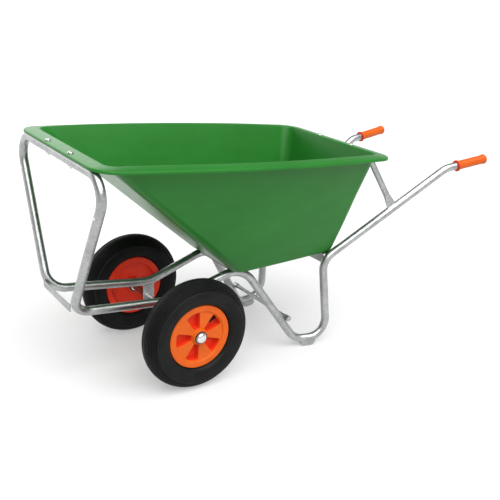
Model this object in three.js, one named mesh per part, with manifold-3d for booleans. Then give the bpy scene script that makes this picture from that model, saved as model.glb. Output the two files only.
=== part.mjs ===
// A two-wheeled tray wheelbarrow: a moulded tray on a bent galvanised tube frame, with two
// pneumatic wheels on one fixed axle. Millimetres, +Z up, +X towards the handles, and the
// user's left is -Y. Inside this file x = 0 is the axle; the group is moved at the end so that
// the origin is under the middle of the whole wheelbarrow, on the ground.
import * as THREE from 'three';
import { mergeVertices } from 'three/addons/utils/BufferGeometryUtils.js';
import Module from 'manifold-3d';

const wasm = await Module();
wasm.setup();

// ---- Driving dimensions --------------------------------------------------------------------
const GAP = 0.3; // clearance between pieces that touch

const TUBE = { radius: 16, bore: 14, sides: 12, boreSides: 8 };
const STAY_TUBE = { radius: 12.5, bore: 10.7, sides: 10 };

// Tray. Outlines are seen from above: x at the front and rear, half widths, side bulge.
const TRAY_WALL = 4.5;
const RIM = { front: -393, rear: 824, frontHalf: 345, rearHalf: 325, bulge: 48, corner: 84 };
const RIM_FRONT_Z = 855;
const RIM_REAR_Z = 771;
const FLANGE = { front: 54, rear: 46, side: 43, rise: 10, lip: 9 };
const WALL_TOP = {
  front: RIM.front + FLANGE.front,
  rear: RIM.rear - FLANGE.rear,
  frontHalf: RIM.frontHalf - FLANGE.side,
  rearHalf: RIM.rearHalf - FLANGE.side,
  bulge: RIM.bulge,
  corner: 46,
};
const FLOOR = { front: 221, rear: 682, frontHalf: 178, rearHalf: 194, bulge: 4, corner: 42 };
const FLOOR_FRONT_Z = 354.5;
const FLOOR_REAR_Z = 375;
const FLOOR_FILLET = 16;

// Frame tube, by the corners that its bends round off, on the right side (y mirrored for left).
const HOOP_TOP = [-377, 386, 832];
const HOOP_BOTTOM = [-394, 115, 313];
const AXLE_BEND = [1, 100, 268];
const TRAY_BEND = [284, 119, 355.5];
const LEG_FOOT_FRONT = [495, 204, 33];
const LEG_FOOT_REAR = [637, 232, 27];
const HANDLE_BEND = [616, 199, 348];
const GRIP_BEND = [1156, 290, 684];
const HANDLE_END = [1359, 310.6, 708.6];
const BEND_RADIUS = { hoopTop: 72, hoopBottom: 72, axle: 150, tray: 98, foot: 74, handle: 75, grip: 95 };
const HOOP_JOIN_Z = 727;
const RAIL_JOIN_BACK = 92; // from the tray bend's corner back to the join in the tube
const LEG_JOIN_DOWN = 58; // from the handle bend's corner down to the join in the leg

// Rear stay under the rear rim.
const STAY_FOOT = [915, 247, 543];
const STAY_TOP = [800, 205, 754];
const STAY_BEND = 48;
const STAY_FLAT = { length: 70, wide: 22, thick: 5 };

// Wheels and axle.
const WHEEL_RADIUS = 204;
const WHEEL_Y = 258.7;
const TYRE_HALF_WIDTH = 50;
const RIM_FLANGE_RADIUS = 118.5;
const RIM_SEAT_RADIUS = 101;
const RIM_HALF_WIDTH = 34.5;
const AXLE_RADIUS = 10;
const AXLE_BORE = 10.7;
const AXLE_HALF_LENGTH = 306;
const HUB_HALF_LENGTH = 40;
const BUSH_OUTER = 16;
const BUSH = { flange: 23.5, flangeHeight: 3, end: 14 };
const RIM_SECTION = {
  outer: { hub: 27 },
  inner: { hub: 28, wall: 91 },
  lip: 97, // radius where the raised outer ring starts
  disc: 29, // outer face of the disc, from the wheel's middle
  back: 12, // inner face of the disc
  seatEdge: 27.6,
  flangeEdge: 28.4,
};
const POCKETS = 5;
const POCKET_START = 35; // degrees, the pocket that holds the valve
const POCKET_HALF_ANGLE = 17;
const SEGMENTS = 28;

const SIDES = [
  { name: 'left', sign: -1 },
  { name: 'right', sign: 1 },
];

// ---- Materials -----------------------------------------------------------------------------
const material = (color, roughness, metalness) =>
  new THREE.MeshStandardMaterial({ color, roughness, metalness });
const GREEN_PLASTIC = material(0x2f7d33, 0.35, 0);
const GALVANISED = material(0xb4bab8, 0.35, 0.9);
const ZINC_PLATED = material(0xc9ccca, 0.25, 1);
const ORANGE_PLASTIC = material(0xf4661c, 0.4, 0);
const RUBBER = material(0x1b1d1b, 0.75, 0);
const NYLON = material(0x20211f, 0.5, 0);

// ---- Small geometry tools --------------------------------------------------------------------
const degrees = Math.PI / 180;
const vector = ([x, y, z], sign = 1) => new THREE.Vector3(x, y * sign, z);
const mix = (a, b, t) => a + (b - a) * t;

// Merges shared corners, drops triangles of no area and turns the faces outwards.
function tidy(geometry) {
  const bare = geometry.index ? geometry.toNonIndexed() : geometry.clone();
  for (const name of Object.keys(bare.attributes)) {
    if (name !== 'position') bare.deleteAttribute(name);
  }
  const merged = mergeVertices(bare, 1e-4);
  const index = merged.index.array;
  const corner = (i) => new THREE.Vector3().fromBufferAttribute(merged.attributes.position, i);
  const faces = [];
  let volume = 0;
  for (let i = 0; i < index.length; i += 3) {
    const [a, b, c] = [index[i], index[i + 1], index[i + 2]];
    if (a === b || b === c || c === a) continue;
    faces.push([a, b, c]);
    volume += corner(a).dot(corner(b).cross(corner(c)));
  }
  merged.setIndex(faces.flatMap(([a, b, c]) => (volume > 0 ? [a, b, c] : [a, c, b])));
  merged.computeVertexNormals();
  return merged;
}

function toSolid(geometry) {
  const merged = tidy(geometry);
  return new wasm.Manifold(new wasm.Mesh({
    numProp: 3,
    vertProperties: new Float32Array(merged.attributes.position.array),
    triVerts: new Uint32Array(merged.index.array),
  }));
}

function toGeometry(solid) {
  const mesh = solid.getMesh();
  const geometry = new THREE.BufferGeometry();
  geometry.setAttribute('position', new THREE.BufferAttribute(new Float32Array(mesh.vertProperties), 3));
  geometry.setIndex(new THREE.BufferAttribute(new Uint32Array(mesh.triVerts), 1));
  geometry.computeVertexNormals();
  return geometry;
}

function cut(geometry, ...tools) {
  const solid = tools.reduce((body, tool) => body.subtract(toSolid(tool)), toSolid(geometry));
  return toGeometry(solid);
}

function join(geometry, ...tools) {
  const solid = tools.reduce((body, tool) => body.add(toSolid(tool)), toSolid(geometry));
  return toGeometry(solid);
}

// A skin through rings of points. Open ends are closed by a fan; a looped skin joins its ends.
function loft(rings, looped = false) {
  const count = rings[0].length;
  const positions = rings.flat().flatMap((p) => [p.x, p.y, p.z]);
  const index = [];
  const spans = looped ? rings.length : rings.length - 1;
  for (let ring = 0; ring < spans; ring += 1) {
    const next = (ring + 1) % rings.length;
    for (let i = 0; i < count; i += 1) {
      const j = (i + 1) % count;
      const [a, b] = [ring * count + i, ring * count + j];
      const [c, d] = [next * count + i, next * count + j];
      index.push(a, b, d, a, d, c);
    }
  }
  if (!looped) {
    const ends = [[0, true], [rings.length - 1, false]];
    for (const [ring, flip] of ends) {
      const middle = rings[ring].reduce((sum, p) => sum.add(p), new THREE.Vector3()).divideScalar(count);
      positions.push(middle.x, middle.y, middle.z);
      const centre = positions.length / 3 - 1;
      for (let i = 0; i < count; i += 1) {
        const [a, b] = [ring * count + i, ring * count + ((i + 1) % count)];
        index.push(...(flip ? [centre, b, a] : [centre, a, b]));
      }
    }
  }
  const geometry = new THREE.BufferGeometry();
  geometry.setAttribute('position', new THREE.Float32BufferAttribute(positions, 3));
  geometry.setIndex(index);
  geometry.computeVertexNormals();
  return geometry;
}

// A tube path: straight runs between corners, each inner corner rounded by an arc.
function bentStations(corners, radii, stepAngle = 22) {
  const stations = [];
  const add = (point, tangent) => stations.push({ point, tangent });
  const first = corners[1].clone().sub(corners[0]).normalize();
  add(corners[0].clone(), first);
  for (let i = 1; i < corners.length - 1; i += 1) {
    const into = corners[i].clone().sub(corners[i - 1]).normalize();
    const out = corners[i + 1].clone().sub(corners[i]).normalize();
    const turn = into.angleTo(out);
    const radius = radii[i - 1];
    const setback = radius * Math.tan(turn / 2);
    const start = corners[i].clone().addScaledVector(into, -setback);
    const side = out.clone().addScaledVector(into, -out.dot(into)).normalize();
    const centre = start.clone().addScaledVector(side, radius);
    const steps = Math.max(2, Math.ceil(turn / (stepAngle * degrees)));
    for (let step = 0; step <= steps; step += 1) {
      const angle = (turn * step) / steps;
      const point = centre.clone()
        .addScaledVector(side, -radius * Math.cos(angle))
        .addScaledVector(into, radius * Math.sin(angle));
      const tangent = into.clone().multiplyScalar(Math.cos(angle)).addScaledVector(side, Math.sin(angle));
      add(point, tangent);
    }
  }
  const end = corners.length - 1;
  add(corners[end].clone(), corners[end].clone().sub(corners[end - 1]).normalize());
  return stations;
}

// A curve that is only asked for at its own stations, so an extrusion steps where the bends are.
class StationCurve extends THREE.Curve {
  constructor(stations) {
    super();
    this.stations = stations;
  }

  station(t) {
    return this.stations[Math.round(t * (this.stations.length - 1))];
  }

  getPoint(t) {
    return this.station(t).point.clone();
  }

  getPointAt(u) {
    return this.station(u).point.clone();
  }

  getTangentAt(u) {
    return this.station(u).tangent.clone();
  }
}

function polygon(radius, sides) {
  return Array.from({ length: sides }, (_, i) => {
    const angle = (2 * Math.PI * (i + 0.5)) / sides;
    return new THREE.Vector2(radius * Math.cos(angle), radius * Math.sin(angle));
  });
}

function bentTube(corners, radii, tube = TUBE) {
  const stations = bentStations(corners, radii);
  const section = new THREE.Shape(polygon(tube.radius, tube.sides));
  if (tube.bore) section.holes.push(new THREE.Path(polygon(tube.bore, tube.boreSides)));
  return new THREE.ExtrudeGeometry(section, {
    steps: stations.length - 1,
    extrudePath: new StationCurve(stations),
  });
}

// A straight rod or bush along a direction, centred on a point.
function rod(radius, length, centre, direction, sides = 16) {
  const geometry = new THREE.CylinderGeometry(radius, radius, length, sides);
  const along = direction.clone().normalize();
  const turn = new THREE.Quaternion().setFromUnitVectors(new THREE.Vector3(0, 1, 0), along);
  geometry.applyQuaternion(turn);
  geometry.translate(centre.x, centre.y, centre.z);
  return geometry;
}

// The (radius, y) outline of a plain ring or bush.
const ringProfile = (inner, outer, from, to) => [
  [inner, from],
  [outer, from],
  [outer, to],
  [inner, to],
  [inner, from],
];

// A body of revolution about Y from (radius, y) points.
function turned(profile, segments = SEGMENTS) {
  return new THREE.LatheGeometry(profile.map(([radius, y]) => new THREE.Vector2(radius, y)), segments);
}

const pieces = [];
function piece(name, geometry, finish) {
  const mesh = new THREE.Mesh(tidy(geometry), finish);
  mesh.name = name;
  pieces.push(mesh);
  return mesh;
}

// ---- Tray ------------------------------------------------------------------------------------
const rimZ = (x) => mix(RIM_FRONT_Z, RIM_REAR_Z, (x - RIM.front) / (RIM.rear - RIM.front));
const floorZ = (x) => mix(FLOOR_FRONT_Z, FLOOR_REAR_Z, (x - FLOOR.front) / (FLOOR.rear - FLOOR.front));

// The flange's inner edge stands above its outer edge along the sides, and not at the ends.
function crown(x) {
  const t = (2 * x - RIM.front - RIM.rear) / (RIM.rear - RIM.front);
  return rimZ(x) + FLANGE.rise * (1 - t ** 6);
}

// Points round an outline with bulging sides and round corners, shrunk by an inset.
function outline(shape, inset) {
  const corner = Math.max(shape.corner - inset, 6);
  const [front, rear] = [shape.front + inset, shape.rear - inset];
  const halfAt = (x) => {
    const t = (x - front) / (rear - front);
    return mix(shape.frontHalf, shape.rearHalf, t) - inset + shape.bulge * 4 * t * (1 - t);
  };
  const cornerSteps = 4;
  const sideSteps = 6;
  const points = [];
  const arc = (centreX, half, sign, from, to) => {
    for (let i = 0; i <= cornerSteps; i += 1) {
      const angle = mix(from, to, i / cornerSteps) * degrees;
      const y = sign * (half - corner) + corner * Math.sin(angle);
      points.push([centreX + corner * Math.cos(angle), y]);
    }
  };
  const side = (fromX, toX, sign) => {
    for (let i = 1; i < sideSteps; i += 1) {
      const x = mix(fromX, toX, i / sideSteps);
      points.push([x, sign * halfAt(x)]);
    }
  };
  const [a, b] = [front + corner, rear - corner];
  arc(a, halfAt(a), -1, 180, 270);
  side(a, b, -1);
  arc(b, halfAt(b), -1, 270, 360);
  points.push([rear, 0]);
  arc(b, halfAt(b), 1, 0, 90);
  side(b, a, 1);
  arc(a, halfAt(a), 1, 90, 180);
  points.push([front, 0]);
  return points;
}

function ring(shape, inset, height) {
  return outline(shape, inset).map(([x, y]) => new THREE.Vector3(x, y, height(x)));
}

// The inner edge of the flange is where the wall begins; the wall is ruled from there to the floor.
function wallRings(levels, wall) {
  const top = ring(WALL_TOP, wall, crown);
  const bottom = ring(FLOOR, wall, floorZ);
  return levels.map((t) => top.map((p, i) => bottom[i].clone().lerp(p, t)));
}

function trayGeometry() {
  const lipDrop = FLANGE.lip;
  const filletShare = FLOOR_FILLET / (RIM_FRONT_Z - FLOOR_FRONT_Z);
  const under = (x) => rimZ(x) - TRAY_WALL;
  const rings = [
    ring(FLOOR, FLOOR_FILLET, floorZ),
    ring(FLOOR, FLOOR_FILLET * 0.3, (x) => floorZ(x) + FLOOR_FILLET * 0.3),
    ...wallRings([filletShare * 1.1, 0.35, 0.65, 0.955], -0.2),
    ring(WALL_TOP, -7, (x) => crown(x) - TRAY_WALL - 1),
    ring(RIM, TRAY_WALL + 3, under),
    ring(RIM, TRAY_WALL, (x) => rimZ(x) - lipDrop + 1),
    ring(RIM, TRAY_WALL - 1, (x) => rimZ(x) - lipDrop),
    ring(RIM, 0.6, (x) => rimZ(x) - lipDrop),
    ring(RIM, 0, (x) => rimZ(x) - lipDrop + 1),
    ring(RIM, 0, (x) => rimZ(x) - 4),
    ring(RIM, 1.3, (x) => rimZ(x) - 1.2),
    ring(RIM, 4.5, rimZ),
    ring(WALL_TOP, -5, (x) => crown(x) - 0.4),
    ring(WALL_TOP, 0.5, (x) => crown(x) - 2),
    ...wallRings([0.955, 0.65, 0.35, filletShare * 1.4], TRAY_WALL),
    ring(FLOOR, FLOOR_FILLET * 0.3 + TRAY_WALL, (x) => floorZ(x) + FLOOR_FILLET * 0.3 + TRAY_WALL),
    ring(FLOOR, FLOOR_FILLET + TRAY_WALL, (x) => floorZ(x) + TRAY_WALL),
  ];
  return loft(rings);
}

// ---- Bolts -----------------------------------------------------------------------------------
const BOLT_RADIUS = 4;
const BOLT_HEAD = { radius: 10, height: 5 };
const NUT = { radius: 7.5, height: 7, flange: 9.5, flangeHeight: 1.6 };
const RIM_BOLTS = { frontX: -374, rearX: 800, halfY: 98 };
const FLOOR_BOLTS = { frontX: 262, frontHalfY: 62, rearX: 646, rearHalfY: 110 };
const UP = new THREE.Vector3(0, 0, 1);
const SIDEWAYS = new THREE.Vector3(0, 1, 0);

// Half of a dome, from its edge up to the axis.
function dome(radius, height, steps = 2) {
  return Array.from({ length: steps + 1 }, (_, i) => {
    const angle = (i / steps) * 90 * degrees;
    return i === steps ? [0, height] : [radius * Math.cos(angle), height * Math.sin(angle)];
  });
}

function standing(profile, x, y, z, segments = 8) {
  const geometry = turned(profile, segments);
  geometry.rotateX(Math.PI / 2);
  geometry.translate(x, y, z);
  return geometry;
}

const boltHole = (x, y, z) => rod(BOLT_RADIUS + GAP, 60, new THREE.Vector3(x, y, z), UP, 8);

// A dome-headed bolt through everything between its seat and the underside, and its flanged nut.
function boltAndNut(name, x, y, seatZ, underZ) {
  const tail = underZ - seatZ - NUT.height - 4;
  const head = dome(BOLT_HEAD.radius, BOLT_HEAD.height);
  const bolt = [[0, tail], [BOLT_RADIUS, tail], [BOLT_RADIUS, 0], ...head];
  piece(`${name}_bolt`, standing(bolt, x, y, seatZ + GAP), ZINC_PLATED);
  const hole = BOLT_RADIUS + GAP;
  const flange = ringProfile(hole, NUT.flange, 0, -NUT.flangeHeight);
  const thread = hole / Math.cos(Math.PI / 6);
  const hexagon = ringProfile(thread, NUT.radius, -NUT.flangeHeight / 2, -NUT.height);
  const nut = join(
    standing(flange, x, y, underZ - GAP, 10),
    standing(hexagon, x, y, underZ - GAP, 6),
  );
  piece(`${name}_nut`, nut, ZINC_PLATED);
}

// ---- Frame -----------------------------------------------------------------------------------
const along = (from, to, distance) => {
  const [a, b] = [vector(from), vector(to)];
  return b.sub(a).normalize().multiplyScalar(distance).add(a).toArray();
};
const hoopJoinShare = (HOOP_TOP[2] - HOOP_JOIN_Z) / (HOOP_TOP[2] - HOOP_BOTTOM[2]);
const HOOP_JOIN = HOOP_TOP.map((value, i) => mix(value, HOOP_BOTTOM[i], hoopJoinShare));
const RAIL_JOIN = along(TRAY_BEND, AXLE_BEND, RAIL_JOIN_BACK);
const LEG_JOIN = along(HANDLE_BEND, LEG_FOOT_REAR, LEG_JOIN_DOWN);
const FRONT_PLATE = { x: 236, half: 97, deep: 12, wide: 42, thick: 4 };
const REAR_PLATE = { x: 622, half: 192, deep: 40, wide: 44, thick: 4 };
const FRONT_BAR = { x: -401.5, half: 121, low: 321, high: 347, thick: 5 };
const TIE = { x: 468.2, z: 124, radius: 7.5, half: 188, capRadius: 10.5, capFrom: 172, capTo: 198 };
const BRACKET = { half: 23, thick: 6 };
const SHOE = { x: 552, y: 215, bottomHalf: 21, topHalf: 33, height: 25, halfWidth: 14, bottomBevel: 6 };
const solidTube = { radius: TUBE.radius + GAP, sides: TUBE.sides };

function frontHoop() {
  const corners = [vector(HOOP_JOIN, -1), vector(HOOP_TOP, -1), vector(HOOP_TOP), vector(HOOP_JOIN)];
  const tube = bentTube(corners, [BEND_RADIUS.hoopTop, BEND_RADIUS.hoopTop]);
  const holes = SIDES.map(({ sign }) => boltHole(RIM_BOLTS.frontX, sign * RIM_BOLTS.halfY, HOOP_TOP[2]));
  piece('front_hoop', cut(tube, ...holes), GALVANISED);
}

const railCorners = (sign) => {
  const start = along(HOOP_JOIN, HOOP_BOTTOM, GAP);
  return [start, HOOP_BOTTOM, AXLE_BEND, RAIL_JOIN].map((corner) => vector(corner, sign));
};
const legCorners = (sign) => {
  const start = along(RAIL_JOIN, TRAY_BEND, GAP);
  return [start, TRAY_BEND, LEG_FOOT_FRONT, LEG_FOOT_REAR, LEG_JOIN].map((corner) => vector(corner, sign));
};
const RAIL_RADII = [BEND_RADIUS.hoopBottom, BEND_RADIUS.axle];
const LEG_RADII = [BEND_RADIUS.tray, BEND_RADIUS.foot, BEND_RADIUS.foot];

function handle(side) {
  const start = along(LEG_JOIN, HANDLE_BEND, GAP);
  const corners = [start, HANDLE_BEND, GRIP_BEND, HANDLE_END].map((corner) => vector(corner, side.sign));
  piece(`${side.name}_handle`, bentTube(corners, [BEND_RADIUS.handle, BEND_RADIUS.grip]), GALVANISED);
}

function sideFrame(side) {
  piece(`${side.name}_rail`, bentTube(railCorners(side.sign), RAIL_RADII), GALVANISED);
  piece(`${side.name}_leg`, bentTube(legCorners(side.sign), LEG_RADII), GALVANISED);
  handle(side);
}

// An angle section across the frame under the tray floor: one leg flat, one hanging.
function floorAngle({ x, half, deep, wide, thick }) {
  const topAt = (at) => floorZ(at) - GAP;
  const section = new THREE.Shape([
    new THREE.Vector2(x, topAt(x) - deep),
    new THREE.Vector2(x + thick, topAt(x) - deep),
    new THREE.Vector2(x + thick, topAt(x + thick) - thick),
    new THREE.Vector2(x + wide, topAt(x + wide) - thick),
    new THREE.Vector2(x + wide, topAt(x + wide)),
    new THREE.Vector2(x, topAt(x)),
  ]);
  return acrossFrame(section, half);
}

// Extrudes an outline drawn in x and z from -half to +half across the frame.
function acrossFrame(section, half) {
  const options = { depth: 2 * half, bevelEnabled: false, curveSegments: 10 };
  const geometry = new THREE.ExtrudeGeometry(section, options);
  geometry.rotateX(Math.PI / 2);
  geometry.translate(0, half, 0);
  return geometry;
}

// The rear leg and the handle as one solid, a gap larger than the tube, for cutting neighbours.
function rearLegTube(sign) {
  const corners = [LEG_FOOT_REAR, HANDLE_BEND, GRIP_BEND].map((corner) => vector(corner, sign));
  return bentTube(corners, [BEND_RADIUS.handle], solidTube);
}

function crossPlates() {
  const { frontX, frontHalfY, rearX, rearHalfY } = FLOOR_BOLTS;
  const frontHoles = SIDES.map(({ sign }) => boltHole(frontX, sign * frontHalfY, floorZ(frontX)));
  const rearHoles = SIDES.map(({ sign }) => boltHole(rearX, sign * rearHalfY, floorZ(rearX)));
  piece('front_cross_plate', cut(floorAngle(FRONT_PLATE), ...frontHoles), GALVANISED);
  const tubes = SIDES.map(({ sign }) => rearLegTube(sign));
  piece('rear_cross_plate', cut(floorAngle(REAR_PLATE), ...rearHoles, ...tubes), GALVANISED);
}

function frontBar() {
  const { x, half, low, high, thick } = FRONT_BAR;
  const bar = new THREE.BoxGeometry(thick, 2 * half, high - low);
  bar.translate(x - thick / 2, 0, (low + high) / 2);
  piece('front_bar', bar, GALVANISED);
}

function legTie() {
  const { x, z, radius, half, capRadius, capFrom, capTo } = TIE;
  piece('leg_tie', rod(radius, 2 * half, new THREE.Vector3(x, 0, z), SIDEWAYS, 12), GALVANISED);
  const bore = radius + GAP;
  const depth = half + GAP - capFrom;
  const length = capTo - capFrom;
  const mouth = [[0, depth], [bore, depth], [bore, 0]];
  const profile = [...mouth, [capRadius, 0], [capRadius, length], [0, length]];
  for (const side of SIDES) {
    const cap = turned(profile, 16);
    if (side.sign < 0) cap.rotateZ(Math.PI);
    cap.translate(x, side.sign * capFrom, z);
    piece(`${side.name}_tie_collar`, cap, GALVANISED);
  }
}

// The stay is one tube, flattened at both feet where it is welded to the handle tubes.
function rearStay() {
  const corners = [vector(STAY_FOOT, -1), vector(STAY_TOP, -1), vector(STAY_TOP), vector(STAY_FOOT)];
  const stations = bentStations(corners, [STAY_BEND, STAY_BEND]);
  const [first, last] = [stations[0], stations[stations.length - 1]];
  const inner = (from, to, distance) =>
    from.point.clone().lerp(to.point, distance / from.point.distanceTo(to.point));
  const flatEnd = ({ station, towards }) => [0, 0.35, 0.7, 1].map((share) => ({
    point: inner(station, towards, share * STAY_FLAT.length),
    tangent: station.tangent,
    flat: 1 - share,
  }));
  const path = [
    ...flatEnd({ station: first, towards: stations[1] }),
    ...stations.slice(1, -1).map((station) => ({ ...station, flat: 0 })),
    ...flatEnd({ station: last, towards: stations[stations.length - 2] }).reverse(),
  ];
  const wideAxis = SIDEWAYS.clone().cross(corners[2].clone().sub(corners[3])).normalize();
  const section = (station, radius, wide, thick) => {
    const thinAxis = station.tangent.clone().cross(wideAxis).normalize();
    const ease = station.flat * station.flat * (3 - 2 * station.flat);
    const [halfWide, halfThin] = [mix(radius, wide, ease), mix(radius, thick, ease)];
    return polygon(1, STAY_TUBE.sides).map(({ x, y }) => station.point.clone()
      .addScaledVector(wideAxis, x * halfWide)
      .addScaledVector(thinAxis, y * halfThin));
  };
  const wall = STAY_TUBE.radius - STAY_TUBE.bore;
  const { wide, thick } = STAY_FLAT;
  const outside = path.map((station) => section(station, STAY_TUBE.radius, wide, thick));
  const inside = path.map((station) => section(station, STAY_TUBE.bore, wide - wall, thick - wall)).reverse();
  const holes = SIDES.map(({ sign }) => boltHole(RIM_BOLTS.rearX, sign * RIM_BOLTS.halfY, STAY_TOP[2]));
  const handles = SIDES.map(({ sign }) => rearLegTube(sign));
  piece('rear_stay', cut(loft([...outside, ...inside], true), ...holes, ...handles), GALVANISED);
}

function footShoe(side) {
  const { x, y, bottomHalf, topHalf, height, halfWidth, bottomBevel } = SHOE;
  const section = new THREE.Shape([
    new THREE.Vector2(-bottomHalf, 0), new THREE.Vector2(bottomHalf, 0),
    new THREE.Vector2(bottomHalf + bottomBevel, bottomBevel), new THREE.Vector2(topHalf, height),
    new THREE.Vector2(-topHalf, height), new THREE.Vector2(-bottomHalf - bottomBevel, bottomBevel),
  ]);
  const shoe = acrossFrame(section, halfWidth);
  const yaw = Math.atan2(LEG_FOOT_REAR[1] - LEG_FOOT_FRONT[1], LEG_FOOT_REAR[0] - LEG_FOOT_FRONT[0]);
  shoe.rotateZ(side.sign * yaw);
  shoe.translate(x, side.sign * y, 0);
  const leg = bentTube(legCorners(side.sign), LEG_RADII, solidTube);
  piece(`${side.name}_foot_shoe`, cut(shoe, leg), GALVANISED);
}

// A plate welded under the rail, round at its lower end, that the axle passes through.
function axleBracket(side) {
  const { half, thick } = BRACKET;
  const top = AXLE_BEND[2];
  const section = new THREE.Shape();
  section.moveTo(half, top);
  section.lineTo(-half, top);
  section.lineTo(-half, WHEEL_RADIUS);
  section.absarc(0, WHEEL_RADIUS, half, Math.PI, 2 * Math.PI, false);
  section.holes.push(new THREE.Path().absarc(0, WHEEL_RADIUS, AXLE_RADIUS + GAP, 0, 2 * Math.PI, true));
  const plate = acrossFrame(section, thick / 2);
  plate.translate(0, side.sign * AXLE_BEND[1], 0);
  const rail = bentTube(railCorners(side.sign), RAIL_RADII, solidTube);
  piece(`${side.name}_axle_bracket`, cut(plate, rail), GALVANISED);
}

// ---- Grips -----------------------------------------------------------------------------------
const GRIP = { length: 156, radius: 18.5, collar: 23.5, collarLength: 6, end: 20.5, cap: 4 };

function grip(side) {
  const bore = TUBE.radius + 2 * GAP;
  const { length, radius, collar, collarLength, end, cap } = GRIP;
  const profile = [
    [0, length - cap], [bore, length - cap], [bore, 0], [collar - 1, 0], [collar, 1.5],
    [collar, collarLength - 1.5], [collar - 1.5, collarLength], [radius + 0.8, collarLength + 3],
    [radius, length * 0.25], [radius, length * 0.8], [end, length - 9], [end, length - 5],
    [end - 4, length - 1], [0, length],
  ];
  const geometry = turned(profile, 14);
  const direction = vector(HANDLE_END).sub(vector(GRIP_BEND)).normalize();
  direction.y *= side.sign;
  geometry.applyQuaternion(new THREE.Quaternion().setFromUnitVectors(SIDEWAYS, direction));
  const seat = vector(HANDLE_END, side.sign).addScaledVector(direction, cap + GAP - length);
  geometry.translate(seat.x, seat.y, seat.z);
  piece(`${side.name}_grip`, geometry, ORANGE_PLASTIC);
}

// ---- Wheels ----------------------------------------------------------------------------------
// Profiles are (radius, distance outboard of the wheel's middle).
const VALVE = { along: 10, radius: 5, tip: 74, capTip: 62 };
const INNER_TUBE = { middle: 152, radius: 33, wall: 3, sides: 8 };
const POCKET = { floor: 3, inner: 32, outer: 91 };

const mirrored = (half) => [...half, ...half.slice(0, -1).reverse().map(([r, a]) => [r, -a])];

function tyreGeometry() {
  const bead = RIM_SEAT_RADIUS + GAP;
  const outside = mirrored([[bead, 27.2], [RIM_FLANGE_RADIUS + 0.6, 27.2], [129, 45.5],
    [152, TYRE_HALF_WIDTH], [179, 46.5], [197, 31], [WHEEL_RADIUS, 0]]);
  const inside = mirrored([[bead, 18], [116, 18], [126, 34], [152, 42], [177, 38], [193, 0]]);
  const profile = [...outside, ...inside.reverse(), outside[0]];
  return turned(profile, SEGMENTS);
}

function torusProfile(radius) {
  const { middle, sides } = INNER_TUBE;
  return Array.from({ length: sides + 1 }, (_, i) => {
    const angle = (2 * Math.PI * (i % sides)) / sides;
    return [middle + radius * Math.cos(angle), radius * Math.sin(angle)];
  });
}

const valveAngle = POCKET_START * degrees;
const valveDirection = new THREE.Vector3(Math.cos(valveAngle), 0, Math.sin(valveAngle));

// A radial rod at the valve's place, between two radii.
function valveRod(radius, from, to) {
  const middle = valveDirection.clone().multiplyScalar((from + to) / 2);
  middle.y = -VALVE.along;
  return rod(radius, to - from, middle, valveDirection, 12);
}

function innerTubeGeometry() {
  const { radius, wall, middle } = INNER_TUBE;
  const skin = turned(torusProfile(radius), 16);
  const air = turned(torusProfile(radius - wall), 16);
  return cut(skin, air, valveRod(VALVE.radius - 1.5, middle - radius - 6, middle - 10));
}

function pocket(index) {
  const angle = (POCKET_START + (index * 360) / POCKETS) * degrees;
  const half = POCKET_HALF_ANGLE * degrees;
  const sector = new THREE.Shape();
  sector.absarc(0, 0, POCKET.outer, angle - half, angle + half, false);
  sector.absarc(0, 0, POCKET.inner, angle + half, angle - half, true);
  const depth = 2 * RIM_HALF_WIDTH;
  const geometry = new THREE.ExtrudeGeometry(sector, { depth, bevelEnabled: false, curveSegments: 3 });
  geometry.rotateX(Math.PI / 2);
  geometry.translate(0, -POCKET.floor, 0);
  return geometry;
}

function rimGeometry() {
  const [seat, flange, face] = [RIM_SEAT_RADIUS, RIM_FLANGE_RADIUS, RIM_HALF_WIDTH];
  const { outer, inner, lip, disc, back, seatEdge, flangeEdge } = RIM_SECTION;
  const outerFace = [
    [BUSH_OUTER, HUB_HALF_LENGTH],
    [outer.hub, HUB_HALF_LENGTH],
    [outer.hub + 3, disc],
    [lip - 3, disc],
    [lip, face],
    [flange, face],
  ];
  const tyreSeat = [
    [flange, flangeEdge],
    [seat, seatEdge],
    [seat, -seatEdge],
    [flange, -flangeEdge],
    [flange, -face],
  ];
  const innerFace = [
    [lip, -face],
    [inner.wall + 2, -disc],
    [inner.wall, -back],
    [inner.hub + 3, -back],
    [inner.hub, -HUB_HALF_LENGTH],
    [BUSH_OUTER, -HUB_HALF_LENGTH],
    [BUSH_OUTER, HUB_HALF_LENGTH],
  ];
  const body = turned([...outerFace, ...tyreSeat, ...innerFace], SEGMENTS).rotateX(Math.PI);
  const pockets = Array.from({ length: POCKETS }, (_, i) => pocket(i));
  return cut(body, ...pockets, valveRod(VALVE.radius + 0.4, VALVE.tip, seat + 5));
}

function bushGeometry() {
  const bore = AXLE_BORE;
  const sleeve = BUSH_OUTER - GAP;
  const face = HUB_HALF_LENGTH + GAP;
  const top = face + BUSH.flangeHeight;
  const flange = [[bore, top], [BUSH.flange, top], [BUSH.flange, face], [sleeve, face]];
  return turned([...flange, [sleeve, BUSH.end], [bore, BUSH.end], [bore, top]], 12);
}

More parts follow.
